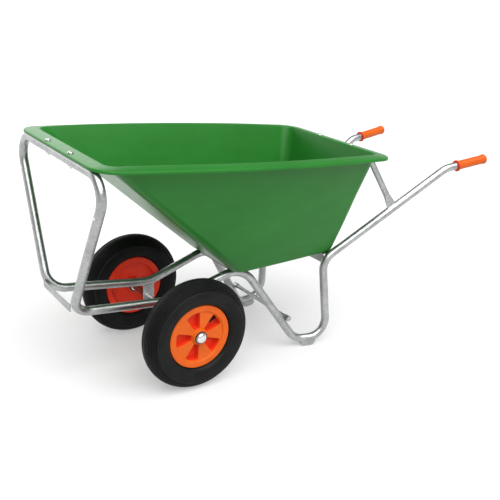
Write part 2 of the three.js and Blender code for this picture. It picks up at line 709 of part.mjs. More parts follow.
function wheel(side) {
  const valveTop = INNER_TUBE.middle - INNER_TUBE.radius - 0.6;
  const parts = [
    ['tyre', tyreGeometry(), RUBBER],
    ['inner_tube', innerTubeGeometry(), RUBBER],
    ['wheel_rim', rimGeometry(), ORANGE_PLASTIC],
    ['valve_stem', valveRod(VALVE.radius, VALVE.tip, valveTop), RUBBER],
    ['valve_cap', valveRod(VALVE.radius - 0.5, VALVE.capTip, VALVE.tip - GAP), NYLON],
    ['outer_bush', bushGeometry().rotateX(Math.PI), NYLON],
    ['inner_bush', bushGeometry(), NYLON],
  ];
  for (const [name, geometry, finish] of parts) {
    const mesh = piece(`${side.name}_${name}`, geometry, finish);
    mesh.position.set(0, side.sign * WHEEL_Y, WHEEL_RADIUS);
    mesh.rotation.z = side.sign > 0 ? Math.PI : 0;
  }
}

// ---- Axle ------------------------------------------------------------------------------------
const BUSH_REACH = HUB_HALF_LENGTH + GAP + BUSH.flangeHeight;
const WASHER = { radius: 18, thick: 2, play: 0.4 };
const SPACER_END = WHEEL_Y - BUSH_REACH - WASHER.thick - WASHER.play;
const SPACER_RADIUS = 13.5;
const CAP = { radius: 20, height: 12, cavity: 7 };

function axleParts() {
  const centre = new THREE.Vector3(0, 0, WHEEL_RADIUS);
  piece('axle', rod(AXLE_RADIUS, 2 * AXLE_HALF_LENGTH, centre, SIDEWAYS, 16), ZINC_PLATED);
  const bore = AXLE_BORE;
  for (const { name, sign } of SIDES) {
    const place = (geometry) => {
      if (sign < 0) geometry.rotateZ(Math.PI);
      geometry.translate(0, 0, WHEEL_RADIUS);
      return geometry;
    };
    const ringAt = (outer, from, to) => place(turned(ringProfile(bore, outer, from, to), 12));
    const bracketFace = AXLE_BEND[1] + BRACKET.thick / 2 + GAP;
    piece(`${name}_axle_spacer`, ringAt(SPACER_RADIUS, bracketFace, SPACER_END - GAP), GALVANISED);
    const washer = ringAt(WASHER.radius, SPACER_END, SPACER_END + WASHER.thick);
    piece(`${name}_axle_washer`, washer, ZINC_PLATED);
    const base = WHEEL_Y + BUSH_REACH + 0.5;
    const crown = dome(CAP.radius, CAP.height, 4).map(([r, h]) => [r, base + h]);
    const cap = [[0, base + CAP.cavity], [bore, base + CAP.cavity], [bore, base], ...crown];
    piece(`${name}_hub_cap`, place(turned(cap, 16)), ZINC_PLATED);
  }
}

// ---- Assembly --------------------------------------------------------------------------------
// Each bolt's place and the heights of its seat and of the underside that its nut meets.
function boltPlaces() {
  const { frontX, rearX, halfY } = RIM_BOLTS;
  const floor = FLOOR_BOLTS;
  const rimSeat = (x) => crown(x) + 0.8;
  const floorSeat = (x) => floorZ(x) + TRAY_WALL + 1.5;
  const under = (x, plate) => floorZ(x) - plate.thick - 1.2;
  return [
    ['front_rim', frontX, halfY, rimSeat(frontX), HOOP_TOP[2] - TUBE.radius],
    ['rear_rim', rearX, halfY, rimSeat(rearX), STAY_TOP[2] - STAY_TUBE.radius],
    ['front_floor', floor.frontX, floor.frontHalfY, floorSeat(floor.frontX), under(floor.frontX, FRONT_PLATE)],
    ['rear_floor', floor.rearX, floor.rearHalfY, floorSeat(floor.rearX), under(floor.rearX, REAR_PLATE)],
  ];
}

function fasteners() {
  for (const { name, sign } of SIDES) {
    for (const [place, x, halfY, seat, under] of boltPlaces()) {
      boltAndNut(`${name}_${place}`, x, sign * halfY, seat, under);
    }
  }
}

function tray() {
  const holes = SIDES.flatMap(({ sign }) =>
    boltPlaces().map(([place, x, halfY]) => {
      const z = place.endsWith('rim') ? rimZ(x) : floorZ(x);
      return boltHole(x, sign * halfY, z);
    }));
  piece('tray', cut(trayGeometry(), ...holes), GREEN_PLASTIC);
}

tray();
frontHoop();
crossPlates();
frontBar();
legTie();
rearStay();
for (const side of SIDES) {
  sideFrame(side);
  footShoe(side);
  axleBracket(side);
  grip(side);
  wheel(side);
}
axleParts();
fasteners();

const wheelbarrow = new THREE.Group();
wheelbarrow.add(...pieces);
const extent = new THREE.Box3().setFromObject(wheelbarrow);
wheelbarrow.position.x = -(extent.min.x + extent.max.x) / 2;

export default wheelbarrow;
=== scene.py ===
"""Looks for a two-wheeled tray wheelbarrow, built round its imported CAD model.

Sizes are in millimetres with x = 0 at the axle, and to_frame() turns them into the frame's
metres. The user's left is -Y. Each piece replaces the CAD node that it is named after.
"""
import math

import bpy
from mathutils import Matrix, Vector


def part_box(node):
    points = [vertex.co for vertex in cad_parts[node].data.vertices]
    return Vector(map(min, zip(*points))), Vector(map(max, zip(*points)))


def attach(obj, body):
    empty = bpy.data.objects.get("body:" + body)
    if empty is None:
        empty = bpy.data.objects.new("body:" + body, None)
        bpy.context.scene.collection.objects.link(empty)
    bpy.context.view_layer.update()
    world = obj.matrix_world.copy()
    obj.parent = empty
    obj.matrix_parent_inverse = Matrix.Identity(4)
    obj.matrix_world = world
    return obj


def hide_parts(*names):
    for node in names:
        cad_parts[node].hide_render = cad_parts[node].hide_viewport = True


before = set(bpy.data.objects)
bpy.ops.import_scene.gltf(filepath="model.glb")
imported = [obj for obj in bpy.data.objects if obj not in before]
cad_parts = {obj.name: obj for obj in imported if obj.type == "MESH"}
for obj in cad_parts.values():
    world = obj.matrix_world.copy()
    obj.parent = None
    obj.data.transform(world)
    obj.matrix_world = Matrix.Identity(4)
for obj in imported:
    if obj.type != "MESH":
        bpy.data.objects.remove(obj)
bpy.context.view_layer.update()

# ---- Sizes, millimetres ----------------------------------------------------------------------
TUBE = {"radius": 16, "bore": 14}
STAY_TUBE = {"radius": 12.5, "bore": 10.7}
SLEEVE_GAP = 0.3

TRAY_WALL = 4.5
RIM = {"front": -393, "rear": 824, "front_half": 345, "rear_half": 325, "bulge": 48, "corner": 84}
RIM_FRONT_Z, RIM_REAR_Z = 855, 771
FLANGE = {"front": 54, "rear": 46, "side": 43, "rise": 10, "lip": 9}
WALL_TOP = {
    "front": RIM["front"] + FLANGE["front"],
    "rear": RIM["rear"] - FLANGE["rear"],
    "front_half": RIM["front_half"] - FLANGE["side"],
    "rear_half": RIM["rear_half"] - FLANGE["side"],
    "bulge": RIM["bulge"],
    "corner": 46,
}
FLOOR = {"front": 221, "rear": 682, "front_half": 178, "rear_half": 194, "bulge": 4, "corner": 42}
FLOOR_FRONT_Z, FLOOR_REAR_Z = 354.5, 375
FLOOR_FILLET = 16

HOOP_TOP = (-377, 386, 832)
HOOP_BOTTOM = (-394, 115, 313)
AXLE_BEND = (1, 100, 268)
TRAY_BEND = (284, 119, 355.5)
LEG_FOOT_FRONT = (495, 204, 33)
LEG_FOOT_REAR = (637, 232, 27)
HANDLE_BEND = (616, 199, 348)
GRIP_BEND = (1156, 290, 684)
HANDLE_END = (1359, 310.6, 708.6)
BEND = {"hoop_top": 72, "hoop_bottom": 72, "axle": 150, "tray": 98, "foot": 74, "handle": 75, "grip": 95}
HOOP_JOIN_Z = 727
RAIL_JOIN_BACK = 92
LEG_JOIN_DOWN = 58
RIVET_DOWN = 22

STAY_FOOT = (915, 247, 543)
STAY_TOP = (800, 205, 754)
STAY_BEND = 48
STAY_FLAT = {"length": 70, "wide": 22, "thick": 5}

WHEEL_RADIUS, WHEEL_Y = 204, 258.7
TYRE_HALF_WIDTH = 50
RIM_FLANGE_RADIUS, RIM_SEAT_RADIUS, RIM_HALF_WIDTH, RIM_FLANGE_BACK = 118.5, 101, 34.5, 28.4
AXLE_RADIUS, AXLE_BORE, AXLE_HALF_LENGTH = 10, 10.7, 306
HUB_HALF_LENGTH = 40
BUSH = {"outer": 16, "flange": 23.5, "flange_height": 3, "end": 14}
POCKETS, POCKET_START, POCKET_HALF_ANGLE = 5, 35, 17
POCKET = {"floor": 3, "inner": 32, "outer": 91}
DISC = 29
VALVE = {"along": 10, "radius": 5, "tip": 74, "cap_tip": 62}
INNER_TUBE = {"middle": 152, "radius": 33}

BOLT_RADIUS = 4
BOLT_BORE = BOLT_RADIUS + 0.1
BOLT_PAST_NUT = 4
BOLT_HEAD = {"radius": 10, "height": 5}
THREAD = {"pitch": 1.25, "depth": 0.45}
NUT = {"radius": 7.5, "height": 7, "flange": 9.5, "flange_height": 1.6}
RIM_BOLTS = {"front_x": -374, "rear_x": 800, "half_y": 98}
FLOOR_BOLTS = {"front_x": 262, "front_half_y": 62, "rear_x": 646, "rear_half_y": 110}
FRONT_PLATE = {"x": 236, "half": 97, "deep": 12, "wide": 42, "thick": 4}
REAR_PLATE = {"x": 622, "half": 190, "deep": 40, "wide": 44, "thick": 4}
FRONT_BAR = {"x": -401.5, "half": 121, "low": 321, "high": 347, "thick": 5}
TIE = {"x": 468.2, "z": 124, "radius": 7.5, "half": 188, "cap_radius": 10.5, "cap_from": 172, "cap_to": 198}
BRACKET = {"half": 23, "thick": 6}
BROKEN_EDGE = 0.8
SHOE = {"x": 552, "y": 215, "bottom": 21, "top": 33, "height": 25, "half_width": 14, "bevel": 6, "corner": 4}
SPACER_RADIUS = 13.5
WASHER = {"radius": 18, "thick": 2}
HUB_CAP = {"flange": 20, "radius": 19.4, "height": 10.6, "hollow": 7}
BRACKET_WELD, BAR_WELD, WELD_RIPPLE = 1.9, 1.7, 2.2
GRIP = {"length": 156, "radius": 18.5, "collar": 23.5, "collar_length": 6, "end": 20.5, "cap": 4, "ridges": 5}

SIDES = (("left", -1), ("right", 1))

# ---- The frame's place -----------------------------------------------------------------------
TYRE_LOW, TYRE_HIGH = (Vector(corner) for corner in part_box("left_tyre"))
AXLE_X = (TYRE_LOW.x + TYRE_HIGH.x) / 2
MM = 0.001


def to_frame(p):
    return (AXLE_X + p[0] * MM, p[1] * MM, p[2] * MM)


def mix(a, b, t):
    return a + (b - a) * t


def smooth(t):
    t = min(max(t, 0), 1)
    return t * t * (3 - 2 * t)


def curve(a, b, c, t):
    """A point between a and c on the curve that rounds off the corner b."""
    return a * (1 - t) ** 2 + b * (2 * t * (1 - t)) + c * t**2


def sizes(table, names):
    return (table[name] for name in names.split())


def sided(p, sign):
    return Vector((p[0], p[1] * sign, p[2]))


# ---- Node materials --------------------------------------------------------------------------
def set_sockets(node, values):
    for socket, value in values.items():
        node.inputs[socket.replace("_", " ")].default_value = value


class Finish:
    """A Principled material with helpers for the noise that drives its colour and relief."""

    def __init__(self, name, slot, **sockets):
        self.slot = slot
        self.material = bpy.data.materials.new(name)
        self.material.use_nodes = True
        self.nodes = self.material.node_tree.nodes
        self.links = self.material.node_tree.links
        self.shader = self.nodes["Principled BSDF"]
        set_sockets(self.shader, sockets)
        self.place = self.nodes.new("ShaderNodeTexCoord").outputs["Object"]

    def node(self, kind, **values):
        node = self.nodes.new(f"ShaderNode{kind}")
        set_sockets(node, values)
        return node

    def noise(self, scale, detail=3, roughness=0.55, stretch=None):
        node = self.node("TexNoise", Scale=scale, Detail=detail, Roughness=roughness)
        source = self.place
        if stretch:
            mapping = self.node("Mapping", Scale=stretch)
            self.links.new(source, mapping.inputs["Vector"])
            source = mapping.outputs["Vector"]
        self.links.new(source, node.inputs["Vector"])
        return node.outputs["Fac"]

    def cells(self, scale):
        node = self.node("TexVoronoi", Scale=scale)
        self.links.new(self.place, node.inputs["Vector"])
        split = self.node("SeparateColor")
        self.links.new(node.outputs["Color"], split.inputs["Color"])
        return split.outputs["Red"]

    def ramp(self, value, stops):
        node = self.node("ValToRGB")
        elements = node.color_ramp.elements
        while len(elements) < len(stops):
            elements.new(0.5)
        for element, (position, colour) in zip(elements, stops):
            element.position = position
            element.color = (*colour, 1)
        self.links.new(value, node.inputs["Fac"])
        return node.outputs["Color"]

    def between(self, value, low, high):
        node = self.node("MapRange", To_Min=low, To_Max=high)
        self.links.new(value, node.inputs["Value"])
        return node.outputs["Result"]

    def multiplied(self, a, b):
        node = self.node("Mix")
        node.data_type, node.blend_type = "RGBA", "MULTIPLY"
        factor, first, second = (socket for socket in node.inputs if socket.enabled)
        factor.default_value = 1
        self.links.new(a, first)
        self.links.new(b, second)
        return next(socket for socket in node.outputs if socket.enabled)

    def colour(self, value):
        self.links.new(value, self.shader.inputs["Base Color"])

    def roughness(self, value):
        self.links.new(value, self.shader.inputs["Roughness"])

    def bump(self, *layers):
        """Layers of (height, strength, distance in metres), finest last."""
        normal = None
        for height, strength, distance in layers:
            node = self.node("Bump", Strength=strength, Distance=distance)
            self.links.new(height, node.inputs["Height"])
            if normal:
                self.links.new(normal, node.inputs["Normal"])
            normal = node.outputs["Normal"]
        self.links.new(normal, self.shader.inputs["Normal"])


def grey(value):
    return (value, value, value)


def tray_plastic():
    """Satin moulded polypropylene: even colour, faint flow marks and a fine orange-peel skin."""
    finish = Finish("tray_plastic", "tray_plastic", Roughness=0.3, Specular_IOR_Level=0.19)
    clouds = finish.noise(3.5, detail=4)
    flow = finish.noise(22, detail=3, stretch=(0.4, 1, 1))
    base = finish.ramp(clouds, [(0.3, (0.0118, 0.13, 0.013)), (0.7, (0.0155, 0.145, 0.017))])
    marks = finish.ramp(flow, [(0.35, grey(0.93)), (0.65, grey(1))])
    finish.colour(finish.multiplied(base, marks))
    finish.roughness(finish.between(finish.noise(60, detail=5), 0.25, 0.38))
    finish.bump((finish.noise(14, detail=2), 0.12, 0.0012), (finish.noise(900, detail=2), 0.06, 0.0002))
    return finish


def galvanised_steel():
    """Hot-dip zinc on drawn tube: pale spangle, faint patches and a slightly uneven skin."""
    finish = Finish("galvanised_steel", "galvanised_steel", Metallic=1, Roughness=0.34)
    spangle = finish.ramp(finish.cells(150), [(0, (0.38, 0.392, 0.39)), (1, (0.48, 0.488, 0.485))])
    tone_patches = finish.ramp(finish.noise(18, detail=6), [(0.32, grey(0.8)), (0.62, grey(1))])
    finish.colour(finish.multiplied(spangle, tone_patches))
    finish.roughness(finish.between(finish.noise(75, detail=5), 0.25, 0.44))
    finish.bump((finish.noise(90, detail=2), 0.1, 0.0006), (finish.noise(1400, detail=2), 0.08, 0.0002))
    return finish


def zinc_plate():
    """Bright zinc plate on turned and pressed parts."""
    finish = Finish("zinc_plate", "zinc_plate", Metallic=1, Roughness=0.22)
    tone = finish.noise(120, detail=4)
    finish.colour(finish.ramp(tone, [(0.3, (0.66, 0.665, 0.67)), (0.7, (0.78, 0.78, 0.77))]))
    finish.roughness(finish.between(finish.noise(320, detail=4), 0.16, 0.32))
    finish.bump((finish.noise(700, detail=2), 0.05, 0.0002))
    return finish


def weld_metal():
    """A galvanised weld bead: darker, rippled zinc."""
    finish = Finish("weld_metal", "galvanised_steel", Metallic=1, Roughness=0.45)
    tone = finish.noise(260, detail=4)
    finish.colour(finish.ramp(tone, [(0.3, (0.36, 0.37, 0.37)), (0.7, (0.58, 0.59, 0.58))]))
    finish.roughness(finish.between(finish.noise(400, detail=3), 0.35, 0.55))
    finish.bump((finish.noise(420, detail=3), 0.35, 0.0008))
    return finish


def moulded(name, slot, dark, light, roughness):
    """Moulded plastic with small colour drift, satin gloss and a fine skin."""
    low, high = roughness
    finish = Finish(name, slot, Roughness=(low + high) / 2, Specular_IOR_Level=0.2)
    finish.colour(finish.ramp(finish.noise(30, detail=4), [(0.3, dark), (0.7, light)]))
    finish.roughness(finish.between(finish.noise(140, detail=5), low, high))
    finish.bump((finish.noise(70, detail=2), 0.06, 0.0005), (finish.noise(1100, detail=2), 0.1, 0.0002))
    return finish


def tyre_rubber():
    """Black rubber with faint grey-green patches painted into its colour as a painted sheen."""
    finish = Finish("tyre_rubber", "rubber", Roughness=0.45, Specular_IOR_Level=0.13)
    # Painted sheen: the lighter grey-green patches stand in for the reflected sheen on the tyre.
    tone_patches = finish.noise(16, detail=6, roughness=0.65)
    finish.colour(finish.ramp(tone_patches, [(0.3, (0.0025, 0.0028, 0.0026)), (0.75, (0.0075, 0.0085, 0.0078))]))
    finish.roughness(finish.between(finish.noise(95, detail=6), 0.38, 0.6))
    finish.bump((finish.noise(160, detail=3), 0.08, 0.0006), (finish.noise(1300, detail=2), 0.15, 0.0003))
    return finish


TRAY_PLASTIC = tray_plastic()
GALVANISED = galvanised_steel()
ZINC = zinc_plate()
WELD = weld_metal()
RUBBER = tyre_rubber()
GRIP_PLASTIC = moulded(
    "grip_plastic", "orange_plastic", (0.45, 0.069, 0.002), (0.5, 0.081, 0.003), (0.28, 0.42))
COLLAR_PLASTIC = moulded(
    "collar_plastic", "orange_plastic", (0.56, 0.036, 0.004), (0.64, 0.045, 0.005), (0.28, 0.42))
# Painted shade: a deeper red copy of the wheel plastic for the rim's pockets and inner side, which lie in
# shade.
SHADED_WHEEL_PLASTIC = moulded(
    "painted_shade_wheel_plastic", "orange_plastic", (0.62, 0.028, 0.008), (0.7, 0.036, 0.01), (0.35, 0.5))
WHEEL_PLASTIC = moulded(
    "wheel_plastic", "orange_plastic", (0.51, 0.077, 0.003), (0.57, 0.092, 0.004), (0.3, 0.45))
NYLON = moulded("black_nylon", "black_nylon", grey(0.014), grey(0.022), (0.35, 0.5))


# ---- Mesh tools ------------------------------------------------------------------------------
def placed(name, data):
    thing = bpy.data.objects.new(name, data)
    bpy.context.scene.collection.objects.link(thing)
    return thing


def add_piece(name, shape, finish, body="frame", replaces=(), sharp=38):
    """Makes an object from (points in millimetres, faces), smooth except across sharp edges."""
    points, faces = shape
    mesh = bpy.data.meshes.new(name)
    mesh.from_pydata([to_frame(p) for p in points], [], faces)
    mesh.validate()
    mesh.polygons.foreach_set("use_smooth", [True] * len(mesh.polygons))
    mesh.update()
    mesh.set_sharp_from_angle(angle=math.radians(sharp))
    piece = placed(name, mesh)
    mesh.materials.append(finish.material)
    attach(piece, body)
    if replaces:
        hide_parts(*replaces)
    return piece


def form(node, shape, finish, body="frame", sharp=38):
    """A finished piece that stands for the CAD node it is named after."""
    return add_piece(f"{node}_form", shape, finish, body, (node,), sharp)


def joined(*shapes):
    points, faces = [], []
    for some_points, some_faces in shapes:
        base = len(points)
        points += some_points
        faces += [tuple(base + i for i in face) for face in some_faces]
    return points, faces


def loft(rings, looped=False, caps=True):
    """A skin through rings of points; open ends are closed by a fan round their middle."""
    count = len(rings[0])
    points = [Vector(p) for ring in rings for p in ring]
    faces = []
    for ring in range(len(rings) if looped else len(rings) - 1):
        here, following = ring * count, (ring + 1) % len(rings) * count
        for i in range(count):
            j = (i + 1) % count
            faces.append((here + i, here + j, following + j, following + i))
    if not looped and caps:
        for ring, flip in ((0, True), (len(rings) - 1, False)):
            points.append(sum((Vector(p) for p in rings[ring]), Vector()) / count)
            for i in range(count):
                a, b = ring * count + i, ring * count + (i + 1) % count
                faces.append((len(points) - 1, b, a) if flip else (len(points) - 1, a, b))
    return points, faces


def circle(middle, across, up, radius, sides, wide=None):
    wide = radius if wide is None else wide
    turns = (2 * math.pi * i / sides for i in range(sides))
    return [middle + across * (wide * math.cos(a)) + up * (radius * math.sin(a)) for a in turns]


def turned(profile, axis, start, sides=64):
    """A body of revolution from (radius, distance along axis) points, closed at the axis or on itself."""
    axis = Vector(axis).normalized()
    across = axis.orthogonal().normalized()
    up = axis.cross(across)
    looped = profile[0] == profile[-1]
    rings = profile[:-1] if looped else profile
    middle = Vector(start)
    solid = [circle(middle + axis * along, across, up, max(radius, 0.001), sides) for radius, along in rings]
    return loft(solid, looped=looped, caps=False)


def rounded(points, radius, steps=5):
    """An open outline of 2-D points with its inner corners rounded by arcs."""
    out = [tuple(points[0])]
    for before, corner, after in zip(points, points[1:], points[2:]):
        a, b, c = Vector(before), Vector(corner), Vector(after)
        into, away = (b - a), (c - b)
        room = min(into.length, away.length) / 2
        turn = into.angle(away)
        if turn < 0.02:
            out.append(tuple(b))
            continue
        setback = min(radius * math.tan(turn / 2), room)
        first, last = b - into.normalized() * setback, b + away.normalized() * setback
        out += [tuple(curve(first, b, last, step / steps)) for step in range(steps + 1)]
    out.append(tuple(points[-1]))
    return out


def dome(radius, height, steps=8):
    angles = (math.pi / 2 * i / steps for i in range(steps + 1))
    return [(radius * math.cos(a), height * math.sin(a)) for a in angles]


# ---- Bent tubes ------------------------------------------------------------------------------
def bent_path(corners, radii, step=4):
    """(point, tangent) along straight runs whose inner corners are rounded by arcs."""
    path = [(corners[0], (corners[1] - corners[0]).normalized())]
    for before, corner, after, radius in zip(corners, corners[1:], corners[2:], radii):
        into, away = (corner - before).normalized(), (after - corner).normalized()
        turn = into.angle(away)
        start = corner - into * radius * math.tan(turn / 2)
        side = (away - into * away.dot(into)).normalized()
        centre = start + side * radius
        steps = max(3, math.ceil(math.degrees(turn) / step))
        for i in range(steps + 1):
            angle = turn * i / steps
            point = centre - side * radius * math.cos(angle) + into * radius * math.sin(angle)
            path.append((point, into * math.cos(angle) + side * math.sin(angle)))
    path.append((corners[-1], (corners[-1] - corners[-2]).normalized()))
    return path


def with_ends(path, inset=0.7):
    """The path with extra stations just inside its ends, where a cut end's edge is broken."""
    (first, along), (last, away) = path[0], path[-1]
    return [path[0], (first + along * inset, along), *path[1:-1], (last - away * inset, away), path[-1]]


def carried(path, start):
    """A side direction carried along a path without twist."""
    side = (start - path[0][1] * start.dot(path[0][1])).normalized()
    out = []
    for _, tangent in path:
        side = (side - tangent * side.dot(tangent)).normalized()
        out.append(side)
    return out


def tube_shape(path, tube, sides=40):
    path = with_ends(path)
    last = len(path) - 1
    up = carried(path, Vector((0.1, 0.2, 1)))
    outer, inner = [], []
    for i, ((point, tangent), side) in enumerate(zip(path, up)):
        edge = 0.7 if i in (0, last) else 0
        across = tangent.cross(side)
        outer.append(circle(point, across, side, tube["radius"] - edge, sides))
        inner.append(circle(point, across, side, tube["bore"], sides))
    return loft(outer + inner[::-1], looped=True)


def toward(a, b, distance):
    return Vector(a) + (Vector(b) - Vector(a)).normalized() * distance


HOOP_JOIN_SHARE = (HOOP_TOP[2] - HOOP_JOIN_Z) / (HOOP_TOP[2] - HOOP_BOTTOM[2])
HOOP_JOIN = Vector(HOOP_TOP).lerp(Vector(HOOP_BOTTOM), HOOP_JOIN_SHARE)
RAIL_JOIN = toward(TRAY_BEND, AXLE_BEND, RAIL_JOIN_BACK)
LEG_JOIN = toward(HANDLE_BEND, LEG_FOOT_REAR, LEG_JOIN_DOWN)


def join_sleeve(name, centre, along):
    """The sleeve inside a tube joint, seen as a fine line round it."""
    bore, outer, reach = TUBE["bore"], TUBE["radius"] - 0.6, 9
    profile = [(bore, -reach), (outer, -reach), (outer, reach), (bore, reach), (bore, -reach)]
    add_piece(name, turned(profile, along, centre, 40), WELD)


def blind_rivet(name, surface, outward):
    profile = [(0, 2.2), (1.6, 2.1), (1.9, 1.2), (3.0, 1.6), (4.3, 1.0), (4.8, 0), (4.8, -1.5)]
    add_piece(name, turned(profile, outward, surface, 24), ZINC)


def front_hoop():
    corners = [sided(HOOP_JOIN, -1), sided(HOOP_TOP, -1), sided(HOOP_TOP, 1), sided(HOOP_JOIN, 1)]
    path = bent_path(corners, [BEND["hoop_top"]] * 2)
    form("front_hoop", tube_shape(path, TUBE), GALVANISED)
    for side, sign in SIDES:
        along = (sided(HOOP_BOTTOM, sign) - sided(HOOP_TOP, sign)).normalized()
        join_sleeve(f"{side}_hoop_sleeve", sided(HOOP_JOIN, sign), along)
        centre = sided(HOOP_JOIN, sign) + along * RIVET_DOWN
        outward = Vector((-1, sign * 0.15, 0)).normalized()
        outward = (outward - along * outward.dot(along)).normalized()
        blind_rivet(f"{side}_hoop_rivet", centre + outward * (TUBE["radius"] - 0.5), outward)


def side_tubes(side, sign):
    start = toward(HOOP_JOIN, HOOP_BOTTOM, SLEEVE_GAP)
    corners = [sided(p, sign) for p in (start, HOOP_BOTTOM, AXLE_BEND, RAIL_JOIN)]
    rail = bent_path(corners, [BEND["hoop_bottom"], BEND["axle"]])
    form(f"{side}_rail", tube_shape(rail, TUBE), GALVANISED)
    start = toward(RAIL_JOIN, TRAY_BEND, SLEEVE_GAP)
    corners = [sided(p, sign) for p in (start, TRAY_BEND, LEG_FOOT_FRONT, LEG_FOOT_REAR, LEG_JOIN)]
    leg = bent_path(corners, [BEND["tray"], BEND["foot"], BEND["foot"]])
    form(f"{side}_leg", tube_shape(leg, TUBE), GALVANISED)
    start = toward(LEG_JOIN, HANDLE_BEND, SLEEVE_GAP)
    corners = [sided(p, sign) for p in (start, HANDLE_BEND, GRIP_BEND, HANDLE_END)]
    handle = bent_path(corners, [BEND["handle"], BEND["grip"]])
    form(f"{side}_handle", tube_shape(handle, TUBE), GALVANISED)
    rail_along = sided(TRAY_BEND, sign) - sided(AXLE_BEND, sign)
    leg_along = sided(HANDLE_BEND, sign) - sided(LEG_FOOT_REAR, sign)
    join_sleeve(f"{side}_rail_sleeve", sided(RAIL_JOIN, sign), rail_along)
    join_sleeve(f"{side}_leg_sleeve", sided(LEG_JOIN, sign), leg_along)


def rear_stay():
    """A bent tube across the back of the tray, pressed flat where it meets the handles."""
    corners = [sided(STAY_FOOT, -1), sided(STAY_TOP, -1), sided(STAY_TOP, 1), sided(STAY_FOOT, 1)]
    path = bent_path(corners, [STAY_BEND] * 2)
    length = STAY_FLAT["length"]
    shares = [i / 12 for i in range(13)]

    def flat_end(foot, inner):
        direction = (inner - foot).normalized()
        return [(foot + direction * share * length, 1 - share) for share in shares]

    first = [(p, path[0][1], flat) for p, flat in flat_end(path[0][0], path[1][0])]
    last = [(p, path[-1][1], flat) for p, flat in flat_end(path[-1][0], path[-2][0])][::-1]
    stations = first + [(p, t, 0) for p, t in path[1:-1]] + last
    wide_axis = Vector((0, 1, 0)).cross(corners[2] - corners[3]).normalized()

    def section(point, tangent, flat, radius, wide, thick):
        ease = smooth(flat)
        thin_axis = tangent.cross(wide_axis).normalized()
        return circle(point, wide_axis, thin_axis, mix(radius, thick, ease), 36, mix(radius, wide, ease))

    wall = STAY_TUBE["radius"] - STAY_TUBE["bore"]
    wide, thick = STAY_FLAT["wide"], STAY_FLAT["thick"]
    outside = [section(*s, STAY_TUBE["radius"], wide, thick) for s in stations]
    inside = [section(*s, STAY_TUBE["bore"], wide - wall, thick - wall) for s in stations]
    form("rear_stay", loft(outside + inside[::-1], looped=True), GALVANISED)


# ---- Tray ------------------------------------------------------------------------------------
def rim_z(x):
    return mix(RIM_FRONT_Z, RIM_REAR_Z, (x - RIM["front"]) / (RIM["rear"] - RIM["front"]))


def floor_z(x):
    return mix(FLOOR_FRONT_Z, FLOOR_REAR_Z, (x - FLOOR["front"]) / (FLOOR["rear"] - FLOOR["front"]))


def crown(x):
    t = (2 * x - RIM["front"] - RIM["rear"]) / (RIM["rear"] - RIM["front"])
    return rim_z(x) + FLANGE["rise"] * (1 - t**6)


def outline(shape, inset, corner_steps=14, side_steps=22, end_steps=7):
    """Points round a plan outline with bulging sides and round corners, shrunk by an inset."""
    corner = max(shape["corner"] - inset, 6)
    front, rear = shape["front"] + inset, shape["rear"] - inset

    def half_at(x):
        t = (x - front) / (rear - front)
        return mix(shape["front_half"], shape["rear_half"], t) - inset + shape["bulge"] * 4 * t * (1 - t)

    points = []

    def arc(middle, half, sign, start, stop):
        for i in range(corner_steps + 1):
            angle = math.radians(mix(start, stop, i / corner_steps))
            y = sign * (half - corner) + corner * math.sin(angle)
            points.append((middle + corner * math.cos(angle), y))

    def run(a, b, steps):
        for i in range(1, steps):
            points.append((mix(a[0], b[0], i / steps), mix(a[1], b[1], i / steps)))

    def side(start, stop, sign):
        for i in range(1, side_steps):
            x = mix(start, stop, i / side_steps)
            points.append((x, sign * half_at(x)))

    a, b = front + corner, rear - corner
    arc(a, half_at(a), -1, 180, 270)
    side(a, b, -1)
    arc(b, half_at(b), -1, 270, 360)
    run((rear, -half_at(b) + corner), (rear, half_at(b) - corner), end_steps)
    arc(b, half_at(b), 1, 0, 90)
    side(b, a, 1)
    arc(a, half_at(a), 1, 90, 180)
    run((front, half_at(a) - corner), (front, -half_at(a) + corner), end_steps)
    return points


def level(shape, inset, height):
    return [Vector((x, y, height(x))) for x, y in outline(shape, inset)]


def wall_at(share, wall):
    """A ring on the wall, which is ruled from the flange's inner edge down to the floor's edge."""
    top, bottom = level(WALL_TOP, wall, crown), level(FLOOR, wall, floor_z)
    return [low.lerp(high, share) for low, high in zip(bottom, top)]


def corner_rings(before, middle, after, steps=4):
    """Rings that round off the corner that three rings make."""
    shares = [i / steps for i in range(steps + 1)]
    return [[curve(a, b, c, t) for a, b, c in zip(before, middle, after)] for t in shares]


def eased(ring, other, distance):
    """The ring moved towards another one by a distance in millimetres."""
    return [a + (b - a).normalized() * min(distance, (b - a).length * 0.49) for a, b in zip(ring, other)]


def rounded_rings(rings, radii):
    """Rings with the corner at each inner ring rounded by its radius."""
    out = [rings[0]]
    for before, ring, after, radius in zip(rings, rings[1:], rings[2:], radii):
        if radius:
            out += corner_rings(eased(ring, before, radius), ring, eased(ring, after, radius))
        else:
            out.append(ring)
    return out + [rings[-1]]


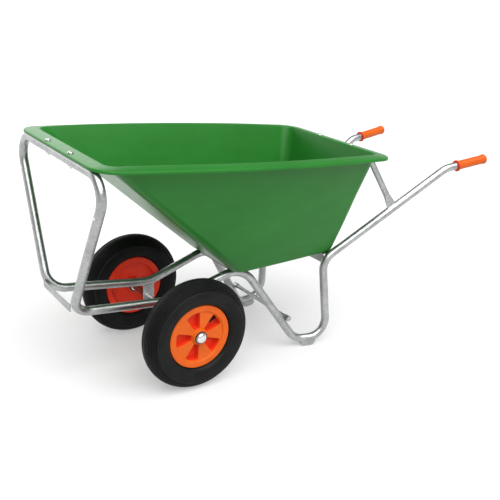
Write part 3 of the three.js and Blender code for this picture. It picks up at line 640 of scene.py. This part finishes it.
def tray():
    """Floor, ruled walls, a crowned flange and a turned-down lip, all one moulded skin."""
    wall, lip = TRAY_WALL, FLANGE["lip"]
    outside = [
        (level(FLOOR, FLOOR_FILLET + 60, floor_z), 0),
        (level(FLOOR, 3, floor_z), 13),
        (wall_at(0.3, -0.2), 0),
        (wall_at(0.6, -0.2), 0),
        (level(WALL_TOP, -2, lambda x: crown(x) - wall - 0.8), 7),
        (level(RIM, wall, lambda x: rim_z(x) - wall), 3),
        (level(RIM, wall - 0.6, lambda x: rim_z(x) - lip), 0.7),
        (level(RIM, 0, lambda x: rim_z(x) - lip), 0.9),
        (level(RIM, 0.4, rim_z), 4.2),
    ]
    inside = [
        (level(WALL_TOP, 0.5, crown), 7),
        (wall_at(0.6, wall), 0),
        (wall_at(0.3, wall), 0),
        (level(FLOOR, wall + 4, lambda x: floor_z(x) + wall), 17),
        (level(FLOOR, FLOOR_FILLET + 60, lambda x: floor_z(x) + wall), 0),
    ]
    stages = outside + inside
    rings = rounded_rings([ring for ring, _ in stages], [radius for _, radius in stages[1:-1]])
    form("tray", loft(rings), TRAY_PLASTIC, sharp=50)


# ---- Bolts -----------------------------------------------------------------------------------
def hexagon(radius, low, high, centre):
    """A hexagonal nut body whose corners are turned down at the free end."""
    sides, chamfer, sixth = 48, 0.9, math.pi / 3
    rings = []
    for z, scale in ((low, 0.9), (low + chamfer, 1), (high, 1)):
        ring = []
        for i in range(sides):
            angle = 2 * math.pi * i / sides
            flat = radius * math.cos(sixth / 2) / math.cos((angle % sixth) - sixth / 2)
            reach = (min(flat, radius * 0.93) if z == low else flat) * scale
            ring.append(centre + Vector((reach * math.cos(angle), reach * math.sin(angle), z)))
        rings.append(ring)
    x_axis, y_axis = Vector((1, 0, 0)), Vector((0, 1, 0))
    bore = [circle(centre + Vector((0, 0, z)), x_axis, y_axis, BOLT_BORE, sides) for z in (high, low)]
    return loft(rings + bore, looped=True)


def bolt_and_nut(node, x, y, seat, under):
    """A domed bolt down from its seat, with threads at its tail, and a flanged nut from below."""
    tail = under - seat - NUT["height"] - BOLT_PAST_NUT
    head, radius, pitch = BOLT_HEAD["radius"], BOLT_RADIUS, THREAD["pitch"]
    threads = []
    z = tail + 1.2
    while z < tail + NUT["height"] + 2 * BOLT_PAST_NUT:
        threads += [(radius - THREAD["depth"], z), (radius, z + pitch / 2)]
        z += pitch
    cap = [(head - 0.25, 0), (head, 0.35), *[(r, 0.5 + h * 0.9) for r, h in dome(head, BOLT_HEAD["height"])]]
    profile = [(0, tail), (radius - 1.1, tail), *threads, (radius - 0.1, z + 1), (radius - 0.1, 0), *cap]
    up = (0, 0, 1)
    form(f"{node}_bolt", turned(profile, up, (x, y, seat + 0.2), 36), ZINC)
    bottom = Vector((x, y, under - 0.2))
    bore, flange, height = BOLT_BORE, NUT["flange"], NUT["flange_height"]
    ring = [(bore, 0), (flange, 0), (flange, -0.9), (NUT["radius"], -height), (bore, -height), (bore, 0)]
    body = hexagon(NUT["radius"], -NUT["height"], -height + 0.2, bottom)
    form(f"{node}_nut", joined(turned(ring, up, bottom, 40), body), ZINC, sharp=30)


def fasteners():
    for side, sign in SIDES:
        for place, x, tube_under in (
            ("front_rim", RIM_BOLTS["front_x"], HOOP_TOP[2] - TUBE["radius"]),
            ("rear_rim", RIM_BOLTS["rear_x"], STAY_TOP[2] - STAY_TUBE["radius"]),
        ):
            bolt_and_nut(f"{side}_{place}", x, sign * RIM_BOLTS["half_y"], crown(x) + 0.6, tube_under)
        for place, plate in (("front", FRONT_PLATE), ("rear", REAR_PLATE)):
            x, half = FLOOR_BOLTS[f"{place}_x"], FLOOR_BOLTS[f"{place}_half_y"]
            seat, under = floor_z(x) + TRAY_WALL + 0.4, floor_z(x) - plate["thick"] - 1.2
            bolt_and_nut(f"{side}_{place}_floor", x, sign * half, seat, under)


# ---- Plates, brackets and shoes --------------------------------------------------------------
def prism(section, half, bevel=0.7):
    """Extrudes an outline of (x, z) across the frame, with its end edges broken by a small bevel."""
    middle = sum((Vector(p) for p in section), Vector((0, 0))) / len(section)

    def ring(y, inset):
        out = []
        for p in section:
            p = Vector(p)
            away = p - middle
            p = p - away.normalized() * min(inset, away.length)
            out.append(Vector((p.x, y, p.y)))
        return out

    rings = [ring(-half, bevel), ring(-half + bevel, 0), ring(half - bevel, 0), ring(half, bevel)]
    return loft(rings)


def closed_round(points, radius, steps=5):
    """A closed outline with every corner rounded."""
    start = tuple((a + b) / 2 for a, b in zip(points[-1], points[0]))
    return rounded([start, *points, start], radius, steps)[:-1]


def floor_angle(node, plate):
    """An angle section under the tray floor, with a rounded outer bend and a small inner one."""
    x, half, deep, wide, thick = sizes(plate, "x half deep wide thick")

    def top(at):
        return floor_z(at) - SLEEVE_GAP

    section = [
        (x, top(x) - deep), (x + thick, top(x) - deep), (x + thick, top(x) - thick),
        (x + wide, top(x + wide) - thick), (x + wide, top(x + wide)), (x, top(x)),
    ]
    section = closed_round(section, 1.2, 3)
    rings = [[Vector((px, y, pz)) for px, pz in section] for y in (-half, -half + 1, half - 1, half)]
    points, faces = loft(rings, caps=False)
    count = len(section)
    faces += [tuple(range(count))[::-1], tuple(range(3 * count, 4 * count))]
    form(node, (points, faces), GALVANISED, sharp=35)


def front_bar():
    x, half, low, high, thick = sizes(FRONT_BAR, "x half low high thick")
    section = closed_round([(x - thick, low), (x, low), (x, high), (x - thick, high)], 1.3, 4)
    form("front_bar", prism(section, half), GALVANISED)


def leg_tie():
    """The bar between the legs, and the cup on each of its ends."""
    edge = BROKEN_EDGE
    x, z, half, r, outer, low, high = sizes(TIE, "x z half radius cap_radius cap_from cap_to")
    bar = [(0, -half), (r - edge, -half), (r, -half + edge), (r, half - edge), (r - edge, half), (0, half)]
    form("leg_tie", turned(bar, (0, 1, 0), (x, 0, z), 40), GALVANISED)
    length, bore, bottom, corner = high - low, r + SLEEVE_GAP, half - low + 0.3, 2
    inner, top = outer - corner, length - corner
    shoulder = [(inner + corner * math.cos(a), top + corner * math.sin(a)) for a in (0, 0.5, 1, 1.57)]
    mouth = [(0, bottom), (bore, bottom), (bore, 0), (outer - edge, 0), (outer, edge)]
    collar = [*mouth, *shoulder, (0, length)]
    for side, sign in SIDES:
        form(f"{side}_tie_collar", turned(collar, (0, sign, 0), (x, sign * low, z), 40), GALVANISED)


def foot_shoe(side, sign):
    """A pressed cradle, open on top, that the bottom of the leg loop sits in."""
    bottom, top, height, bevel = sizes(SHOE, "bottom top height bevel")
    half_width, corner = SHOE["half_width"], SHOE["corner"]
    run, sideways, rise = (rear - front for rear, front in zip(LEG_FOOT_REAR, LEG_FOOT_FRONT))
    turn = Matrix.Rotation(math.atan2(sideways, run) * sign, 3, "Z")
    hollow = TUBE["radius"] + 0.2
    tube_middle = mix(LEG_FOOT_FRONT[2], LEG_FOOT_REAR[2], 0.4)
    place = Vector((SHOE["x"], sign * SHOE["y"], 0))
    columns = 24
    rings = []
    for i in range(columns + 1):
        y = mix(-half_width, half_width, i / columns)
        inset = 1 if i in (0, columns) else 0
        cradle = min(height, tube_middle - math.sqrt(hollow**2 - y**2))
        sole_edge, heel = (bottom - inset, inset), (bottom + bevel - inset, bevel)
        right = rounded([(0, inset), sole_edge, heel, (top - inset, cradle)], corner, 4)
        left = [(-px, pz) for px, pz in right][::-1]
        ring = [turn @ Vector((px, y, pz)) + place for px, pz in right + left[:-1]]
        for point in ring:
            if point.z > bevel + 1:
                point.z += (point.x - SHOE["x"]) * rise / run
        rings.append(ring)
    form(f"{side}_foot_shoe", loft(rings), GALVANISED, sharp=40)


def axle_bracket(side, sign):
    """A plate welded under the rail, round at its lower end, with the axle through it."""
    half, thick = BRACKET["half"], BRACKET["thick"]
    top = AXLE_BEND[2] - TUBE["radius"] * 0.35
    bore = AXLE_RADIUS + SLEEVE_GAP
    count = 72
    outer, hole = [], []
    for i in range(count):
        angle = 2 * math.pi * i / count
        c, s = math.cos(angle), math.sin(angle)
        reach = half if s <= 0 else min(half / max(abs(c), 1e-6), (top - WHEEL_RADIUS) / s)
        outer.append((reach * c, WHEEL_RADIUS + reach * s))
        hole.append((bore * c, WHEEL_RADIUS + bore * s))
    middle = sign * AXLE_BEND[1]

    def ring(points, y, inset):
        out = []
        for px, pz in points:
            away = Vector((px, pz - WHEEL_RADIUS))
            away = away.normalized() * (away.length - inset)
            out.append(Vector((away.x, middle + y, WHEEL_RADIUS + away.y)))
        return out

    face, edge, flare = thick / 2, BROKEN_EDGE, 0.5
    outside = [(-face, edge), (-face + edge, 0), (face - edge, 0), (face, edge)]
    inside = [(face, -flare), (face - flare, 0), (flare - face, 0), (-face, -flare)]
    rings = [ring(outer, y, inset) for y, inset in outside] + [ring(hole, y, inset) for y, inset in inside]
    form(f"{side}_axle_bracket", loft(rings, looped=True), GALVANISED, sharp=32)


def weld_bead(name, points, radius):
    """A rippled bead along a line of points."""
    path = [points[0]]
    for a, b in zip(points, points[1:]):
        count = max(1, round((b - a).length / WELD_RIPPLE))
        path += [a.lerp(b, i / count) for i in range(1, count + 1)]
    last = len(path) - 1
    rings = []
    for i, p in enumerate(path):
        ahead = (path[min(i + 1, last)] - path[max(i - 1, 0)]).normalized()
        across = ahead.orthogonal().normalized()
        end = 0.35 if i in (0, last) else 1
        size = radius * end * (1 + 0.12 * math.sin(i * 2.4))
        rings.append(circle(p, across, ahead.cross(across), size, 10))
    add_piece(name, loft(rings), WELD)


def welds():
    """Beads where the axle brackets meet the rails and where the front bar meets them."""
    under = AXLE_BEND[2] - TUBE["radius"] * 0.9 - 0.5
    for side, sign in SIDES:
        for face, offset in (("inner", -3.4), ("outer", 3.4)):
            y = sign * AXLE_BEND[1] + sign * offset
            points = [Vector((x, y, under)) for x in (-20, -10, 0, 10, 20)]
            weld_bead(f"{side}_bracket_{face}_weld", points, BRACKET_WELD)
        for edge in ("low", "high"):
            ys = (FRONT_BAR["half"] - inward for inward in (10, 4, 0.5))
            points = [Vector((FRONT_BAR["x"] - 0.8, sign * y, FRONT_BAR[edge])) for y in ys]
            weld_bead(f"{side}_bar_{edge}_weld", points, BAR_WELD)


# ---- Grips -----------------------------------------------------------------------------------
def grip(side, sign):
    """A moulded grip: a raised collar, a slim barrel with shallow rings and a bulbed end."""
    length, radius, collar, end, cap, thickness = sizes(GRIP, "length radius collar end cap collar_length")
    bore, floor = TUBE["radius"] + 0.4, length - cap
    direction = (sided(HANDLE_END, sign) - sided(GRIP_BEND, sign)).normalized()
    start = sided(HANDLE_END, sign) + direction * (cap + SLEEVE_GAP - length)
    root = thickness + 1.5
    ring = rounded([(bore, 0), (collar, 0), (collar, thickness), (radius + 0.6, root), (bore, root)], 2.2, 5)
    collar_shape = turned([*ring, ring[0]], direction, start, 56)
    body = [(radius + 0.6, thickness + 1), (radius + 0.4, thickness + 5), (radius, length * 0.25)]
    steps = 6
    stations = GRIP["ridges"] * steps
    for i in range(stations + 1):
        along = mix(length * 0.3, length * 0.78, i / stations)
        body.append((radius + 0.25 * math.cos(2 * math.pi * i / steps), along))
    tip = rounded([(radius, length * 0.8), (radius + 0.3, length - 22), (end, length - 11), (end, length - 6),
                   (end - 3.5, length), (0, length)], 6, 6)
    inside = [(0, floor), (bore, floor), (bore, thickness + 1)]
    profile = [*body, *tip, *inside, body[0]]
    barrel = turned([p for i, p in enumerate(profile) if i == 0 or p != profile[i - 1]], direction, start, 56)
    form(f"{side}_grip", barrel, GRIP_PLASTIC)
    add_piece(f"{side}_grip_collar", collar_shape, COLLAR_PLASTIC)


# ---- Wheels ----------------------------------------------------------------------------------
def wheel_piece(side, sign, node, shape, finish, sharp=38):
    """Places a shape modelled round the wheel's own middle, whose outer face looks along -Y."""
    points, faces = shape
    turn, middle = -sign, sign * WHEEL_Y
    moved = [Vector((x * turn, y * turn + middle, z + WHEEL_RADIUS)) for x, y, z in points]
    return form(f"{side}_{node}", (moved, faces), finish, f"{side}_wheel", sharp)


def ring_shape(profile, sides=128):
    """A body of revolution from (radius, distance outboard) points, about the wheel's axis."""
    return turned(profile, (0, -1, 0), (0, 0, 0), sides)


def tyre_half():
    """Half of the tyre's outside, bead to crown: bead wall, then ribbed shoulder and tread."""
    bead = 27.2
    wall = rounded([
        (RIM_SEAT_RADIUS + 0.3, bead), (RIM_FLANGE_RADIUS + 0.6, bead), (122, 38), (130, 45.5),
        (INNER_TUBE["middle"], TYRE_HALF_WIDTH), (170, 48.8), (176, 47.4),
    ], 9, 6)
    shoulder = []
    ribs, steps = 9, 10
    for i in range(ribs * steps + 1):
        t = i / (ribs * steps)
        angle = mix(math.radians(66), math.radians(4), t)
        radius = 152.5 + 51.3 * math.cos(angle) ** 0.95
        half = 49 * math.sin(angle) ** 0.9
        groove = 2.6 * (0.5 - 0.5 * math.cos(2 * math.pi * i / steps)) ** 3
        shoulder.append((radius - groove * math.cos(angle), half - groove * math.sin(angle)))
    return [p for p in wall if p[0] < shoulder[0][0] - 0.5] + shoulder


def tyre_shape():
    """The tyre as an open hoop: both halves outside and the cavity for the inner tube."""
    half = [*tyre_half(), (WHEEL_RADIUS - 0.3, 0)]
    cavity = [(RIM_SEAT_RADIUS + 0.3, 18), (116, 18), (126, 34), (152, 42), (177, 38), (193, 0)]
    outside, inside = (part + [(r, -a) for r, a in part[:-1]][::-1] for part in (half, cavity))
    profile = outside + inside[::-1]
    return ring_shape([*profile, profile[0]], 144)


def pocket_depth(radius, angle):
    """How far the rim's outer face is sunk at a place on it, for pockets with rounded corners."""
    step = 360 / POCKETS
    off = (angle - POCKET_START + step / 2) % step - step / 2
    middle = (POCKET["inner"] + POCKET["outer"]) / 2
    half_long = (POCKET["outer"] - POCKET["inner"]) / 2
    half_wide = radius * math.radians(POCKET_HALF_ANGLE)
    round_off = 5
    dx = abs(radius - middle) - half_long + round_off
    dy = abs(radius * math.radians(off)) - half_wide + round_off
    outside = math.hypot(max(dx, 0), max(dy, 0)) + min(max(dx, dy), 0) - round_off
    return (DISC - POCKET["floor"]) * smooth(0.5 - outside / 2.4)


def fine_steps(marks, spread, coarse, low, high):
    """Values from low to high, close together round the marks and coarse elsewhere."""
    values = {low, high}
    for mark in marks:
        values |= {mark + offset for offset in spread if low < mark + offset < high}
    ordered = sorted(values)
    out = []
    for a, b in zip(ordered, ordered[1:]):
        count = max(1, math.ceil((b - a) / coarse))
        out += [mix(a, b, i / count) for i in range(count)]
    return out + [high]


def wheel_point(radius, along, angle):
    a = math.radians(angle)
    return Vector((radius * math.cos(a), -along, radius * math.sin(a)))


def rim_face():
    """The rim's outer face: hub, disc with five sunk pockets, and the raised outer ring."""
    hub_end, flange, face = HUB_HALF_LENGTH, RIM_FLANGE_RADIUS, RIM_HALF_WIDTH
    hub = rounded([(BUSH["outer"], hub_end), (27, hub_end), (30, DISC), (33, DISC)], 2.2, 4)[:-1]
    lip = [(92.5, DISC), (94, DISC), (97, face), (flange, face), (flange, RIM_FLANGE_BACK)]
    ring = rounded(lip, 2, 5)[1:]
    spread = [-6, -4.5, -3.2, -2.2, -1.5, -0.9, -0.3, 0.3, 0.9, 1.5, 2.2, 3.2]
    radii = fine_steps((POCKET["inner"], POCKET["outer"]), spread, 6, 30.6, 92.4)
    step = 360 / POCKETS
    edge_spread = [-8, -6, -4.6, -3.5, -2.6, -1.9, -1.3, -0.7, -0.2, 0.3, 0.8, 1.4, 2.2, 3.2, 4.5]
    middles = [POCKET_START + n * step for n in range(-1, POCKETS + 1)]
    edges = [middle + half for middle in middles for half in (-POCKET_HALF_ANGLE, POCKET_HALF_ANGLE)]
    angles = fine_steps(edges, {*edge_spread, *(-offset for offset in edge_spread)}, 3, 0, 360)[:-1]
    profile = [*hub, *[(r, DISC) for r in radii], *ring]
    rings = []
    for radius, along in profile:
        depths = [pocket_depth(radius, angle) if along == DISC else 0 for angle in angles]
        rings.append([wheel_point(radius, along - sunk, angle) for sunk, angle in zip(depths, angles)])
    return rings, angles


def rim_shape():
    """The whole rim, and the faces coloured a deeper red as painted shade: the pockets and the inner side."""
    rings, angles = rim_face()
    outer_side = len(rings)
    seat, flange, face, hub_end = RIM_SEAT_RADIUS, RIM_FLANGE_RADIUS, RIM_HALF_WIDTH, HUB_HALF_LENGTH
    back = rounded([
        (flange, RIM_FLANGE_BACK), (seat, 27.6), (seat, -27.6), (flange, -RIM_FLANGE_BACK), (flange, -face),
        (97, -face), (93, -28), (91, -12), (31, -12), (28, -hub_end), (BUSH["outer"], -hub_end),
    ], 1.6, 4)
    rings += [[wheel_point(radius, along, angle) for angle in angles] for radius, along in back[1:]]
    points, faces = loft(rings, looped=True)
    # Painted shade mask: the pocket faces and the inner side take the deeper red shaded copy of the plastic.
    deep = []
    for index, corners in enumerate(faces):
        middle = sum((points[i] for i in corners), Vector()) / len(corners)
        sunk = BUSH["outer"] + 8 < math.hypot(middle.x, middle.z) < 94 and middle.y > 4 - DISC
        deep.append(index >= outer_side * len(angles) or sunk)
    return points, faces, deep


def bush_shape(sign):
    bore, face = AXLE_BORE, HUB_HALF_LENGTH + 0.2
    top, wide, sleeve, end = face + BUSH["flange_height"], BUSH["flange"], BUSH["outer"] - 0.2, BUSH["end"]
    flange = rounded([(bore, top - 1), (bore, top), (wide, top), (wide, face), (16.5, face)], 1, 4)
    profile = [*flange, (sleeve, face), (sleeve, end), (bore, end), flange[0]]
    return turned(profile, (0, -sign, 0), (0, 0, 0), 56)


def valve_shapes():
    direction = Vector((math.cos(math.radians(POCKET_START)), 0, math.sin(math.radians(POCKET_START))))
    start = Vector((0, -VALVE["along"], 0))
    r, tip, cap_tip = VALVE["radius"], VALVE["tip"], VALVE["cap_tip"]
    top = INNER_TUBE["middle"] - INNER_TUBE["radius"] - 0.6
    stem = [(0, top), (r, top), (r, tip + 16), (r + 0.9, tip + 15), (r + 0.9, tip + 13), (r - 0.2, tip + 10),
            (r - 0.8, tip + 2), (r - 1.4, tip), (0, tip)]
    cap = [(0, tip - 0.3), (r - 0.7, tip - 0.3), (r - 0.3, tip - 1), (r - 0.3, tip - 3), (r - 0.8, tip - 3.6),
           (r - 0.8, cap_tip + 2), (r - 1.8, cap_tip), (0, cap_tip)]
    return turned(stem, direction, start, 32), turned(cap, direction, start, 32)


def wheel(side, sign):
    stem, cap = valve_shapes()
    middle, radius = INNER_TUBE["middle"], INNER_TUBE["radius"]
    torus = [(middle + radius * math.cos(a), radius * math.sin(a)) for a in
             (2 * math.pi * i / 24 for i in range(24))]
    wheel_piece(side, sign, "tyre", tyre_shape(), RUBBER, 60)
    wheel_piece(side, sign, "inner_tube", ring_shape([*torus, torus[0]], 72), RUBBER)
    *rim, deep = rim_shape()
    disc = wheel_piece(side, sign, "wheel_rim", rim, WHEEL_PLASTIC, 42)
    # The second material is painted shade on the pockets and on the rim's inner side.
    disc.data.materials.append(SHADED_WHEEL_PLASTIC.material)
    disc.data.polygons.foreach_set("material_index", [int(below) for below in deep])
    wheel_piece(side, sign, "valve_stem", stem, RUBBER)
    wheel_piece(side, sign, "valve_cap", cap, NYLON)
    wheel_piece(side, sign, "outer_bush", bush_shape(1), NYLON)
    wheel_piece(side, sign, "inner_bush", bush_shape(-1), NYLON)


# ---- Axle ------------------------------------------------------------------------------------
BUSH_REACH = HUB_HALF_LENGTH + SLEEVE_GAP + BUSH["flange_height"]
SPACER_END = WHEEL_Y - BUSH_REACH - 2.4


def axle_ring(outer, low, high):
    """A plain ring's profile round the axle, with its outer edges broken."""
    bore, edge = AXLE_BORE, 0.5
    rim = [(outer - edge, low), (outer, low + edge), (outer, high - edge), (outer - edge, high)]
    return [(bore, low), *rim, (bore, high), (bore, low)]


def hub_cap_profile():
    base, flange, hollow = WHEEL_Y + BUSH_REACH + 0.5, HUB_CAP["flange"], HUB_CAP["hollow"]
    bowl = [(r, base + 1.2 + along) for r, along in dome(HUB_CAP["radius"], HUB_CAP["height"], 12)]
    inside = [(0, base + hollow), (AXLE_BORE, base + hollow), (AXLE_BORE, base)]
    return [*inside, (flange, base), (flange, base + 1), *bowl]


def axle_parts():
    half, r, centre = AXLE_HALF_LENGTH, AXLE_RADIUS, (0, 0, WHEEL_RADIUS)
    bar = [(0, -half), (r - 1, -half), (r, -half + 1), (r, half - 1), (r - 1, half), (0, half)]
    form("axle", turned(bar, (0, 1, 0), centre, 48), ZINC)
    face = AXLE_BEND[1] + BRACKET["thick"] / 2 + SLEEVE_GAP
    spacer = axle_ring(SPACER_RADIUS, face, SPACER_END - SLEEVE_GAP)
    washer = axle_ring(WASHER["radius"], SPACER_END, SPACER_END + WASHER["thick"])
    for side, sign in SIDES:
        out = (0, sign, 0)
        form(f"{side}_axle_spacer", turned(spacer, out, centre), GALVANISED)
        form(f"{side}_axle_washer", turned(washer, out, centre), ZINC)
        form(f"{side}_hub_cap", turned(hub_cap_profile(), out, centre, 56), ZINC, sharp=45)


# ---- Camera, floor and light -----------------------------------------------------------------
CAMERA = {
    "place": (-1.7443, -2.3680, 1.4530), "azimuth": -35.15, "elevation": 20.66, "roll": 2.78, "lens": 55.69,
}
SUN = {"towards": (-0.05, -0.42, 0.9), "strength": 5.7, "spread": 78}
BACKDROP = {"place": (-1.5, 6.5, 3.2), "target": (0, 0, 0.8), "size": (9, 3), "power": 160}
WHITE = (1, 1, 1, 1)
OVERHEAD_GREY = (0.26, 0.26, 0.26, 1)
HORIZON_TOP, OVERHEAD_START = 0.1, 0.3
FLOOR_REACH, FLOOR_DROP, FLOOR_GLOW = 60, 0.0005, 0.34


def camera():
    azimuth, elevation, roll = (math.radians(CAMERA[k]) for k in ("azimuth", "elevation", "roll"))
    level_back = Vector((math.sin(azimuth), -math.cos(azimuth), 0))
    back = level_back * math.cos(elevation) + Vector((0, 0, math.sin(elevation)))
    right = Vector((math.cos(azimuth), math.sin(azimuth), 0))
    up = back.cross(right)
    side = right * math.cos(roll) + up * math.sin(roll)
    top = up * math.cos(roll) - right * math.sin(roll)
    data = bpy.data.cameras.new("camera")
    data.lens, data.sensor_width = CAMERA["lens"], 36
    data.clip_start, data.clip_end = 0.05, 100
    holder = placed("camera", data)
    turn = Matrix((side, top, back)).transposed().to_4x4()
    holder.matrix_world = Matrix.Translation(CAMERA["place"]) @ turn
    bpy.context.scene.camera = holder


def lights():
    """A broad sun that lights the whole floor alike, and a wide soft panel behind the object."""
    data = bpy.data.lights.new("overhead", "SUN")
    data.energy, data.angle = SUN["strength"], math.radians(SUN["spread"])
    lamp = placed("overhead", data)
    lamp.rotation_euler = Vector(SUN["towards"]).to_track_quat("Z", "Y").to_euler()
    data = bpy.data.lights.new("backdrop", "AREA")
    data.shape, data.size, data.size_y = "RECTANGLE", *BACKDROP["size"]
    data.energy = BACKDROP["power"]
    lamp = placed("backdrop", data)
    lamp.location = BACKDROP["place"]
    away = Vector(BACKDROP["target"]) - Vector(BACKDROP["place"])
    lamp.rotation_euler = away.to_track_quat("-Z", "Y").to_euler()


def surround():
    """White round the horizon and grey overhead."""
    world = bpy.data.worlds.new("studio")
    world.use_nodes = True
    nodes, links = world.node_tree.nodes, world.node_tree.links
    place, split = nodes.new("ShaderNodeTexCoord"), nodes.new("ShaderNodeSeparateXYZ")
    sky = nodes.new("ShaderNodeValToRGB")
    low, high = sky.color_ramp.elements
    low.position, low.color = HORIZON_TOP, WHITE
    high.position, high.color = OVERHEAD_START, OVERHEAD_GREY
    links.new(place.outputs["Generated"], split.inputs[0])
    links.new(split.outputs["Z"], sky.inputs["Fac"])
    links.new(sky.outputs["Color"], nodes["Background"].inputs["Color"])
    nodes["Background"].inputs["Strength"].default_value = 1
    bpy.context.scene.world = world


def studio_floor():
    """A pale floor that glows a little, so that it stays white round the soft shadow."""
    mesh = bpy.data.meshes.new("floor")
    signs = ((-1, -1), (1, -1), (1, 1), (-1, 1))
    corners = [(x * FLOOR_REACH, y * FLOOR_REACH, -FLOOR_DROP) for x, y in signs]
    mesh.from_pydata(corners, [], [(0, 1, 2, 3)])
    floor = placed("floor", mesh)
    glow = {"Emission_Color": WHITE, "Emission_Strength": FLOOR_GLOW}
    finish = Finish("floor", "floor", Roughness=0.9, Specular_IOR_Level=0.1, **glow)
    finish.colour(finish.ramp(finish.noise(4), [(0, grey(0.41)), (1, grey(0.43))]))
    mesh.materials.append(finish.material)


def studio():
    bpy.context.scene.view_settings.view_transform = "Standard"
    surround()
    studio_floor()
    lights()


camera()
studio()
tray()
front_hoop()
for side, sign in SIDES:
    side_tubes(side, sign)
    foot_shoe(side, sign)
    axle_bracket(side, sign)
    grip(side, sign)
    wheel(side, sign)
rear_stay()
floor_angle("front_cross_plate", FRONT_PLATE)
floor_angle("rear_cross_plate", REAR_PLATE)
front_bar()
leg_tie()
welds()
axle_parts()
fasteners()
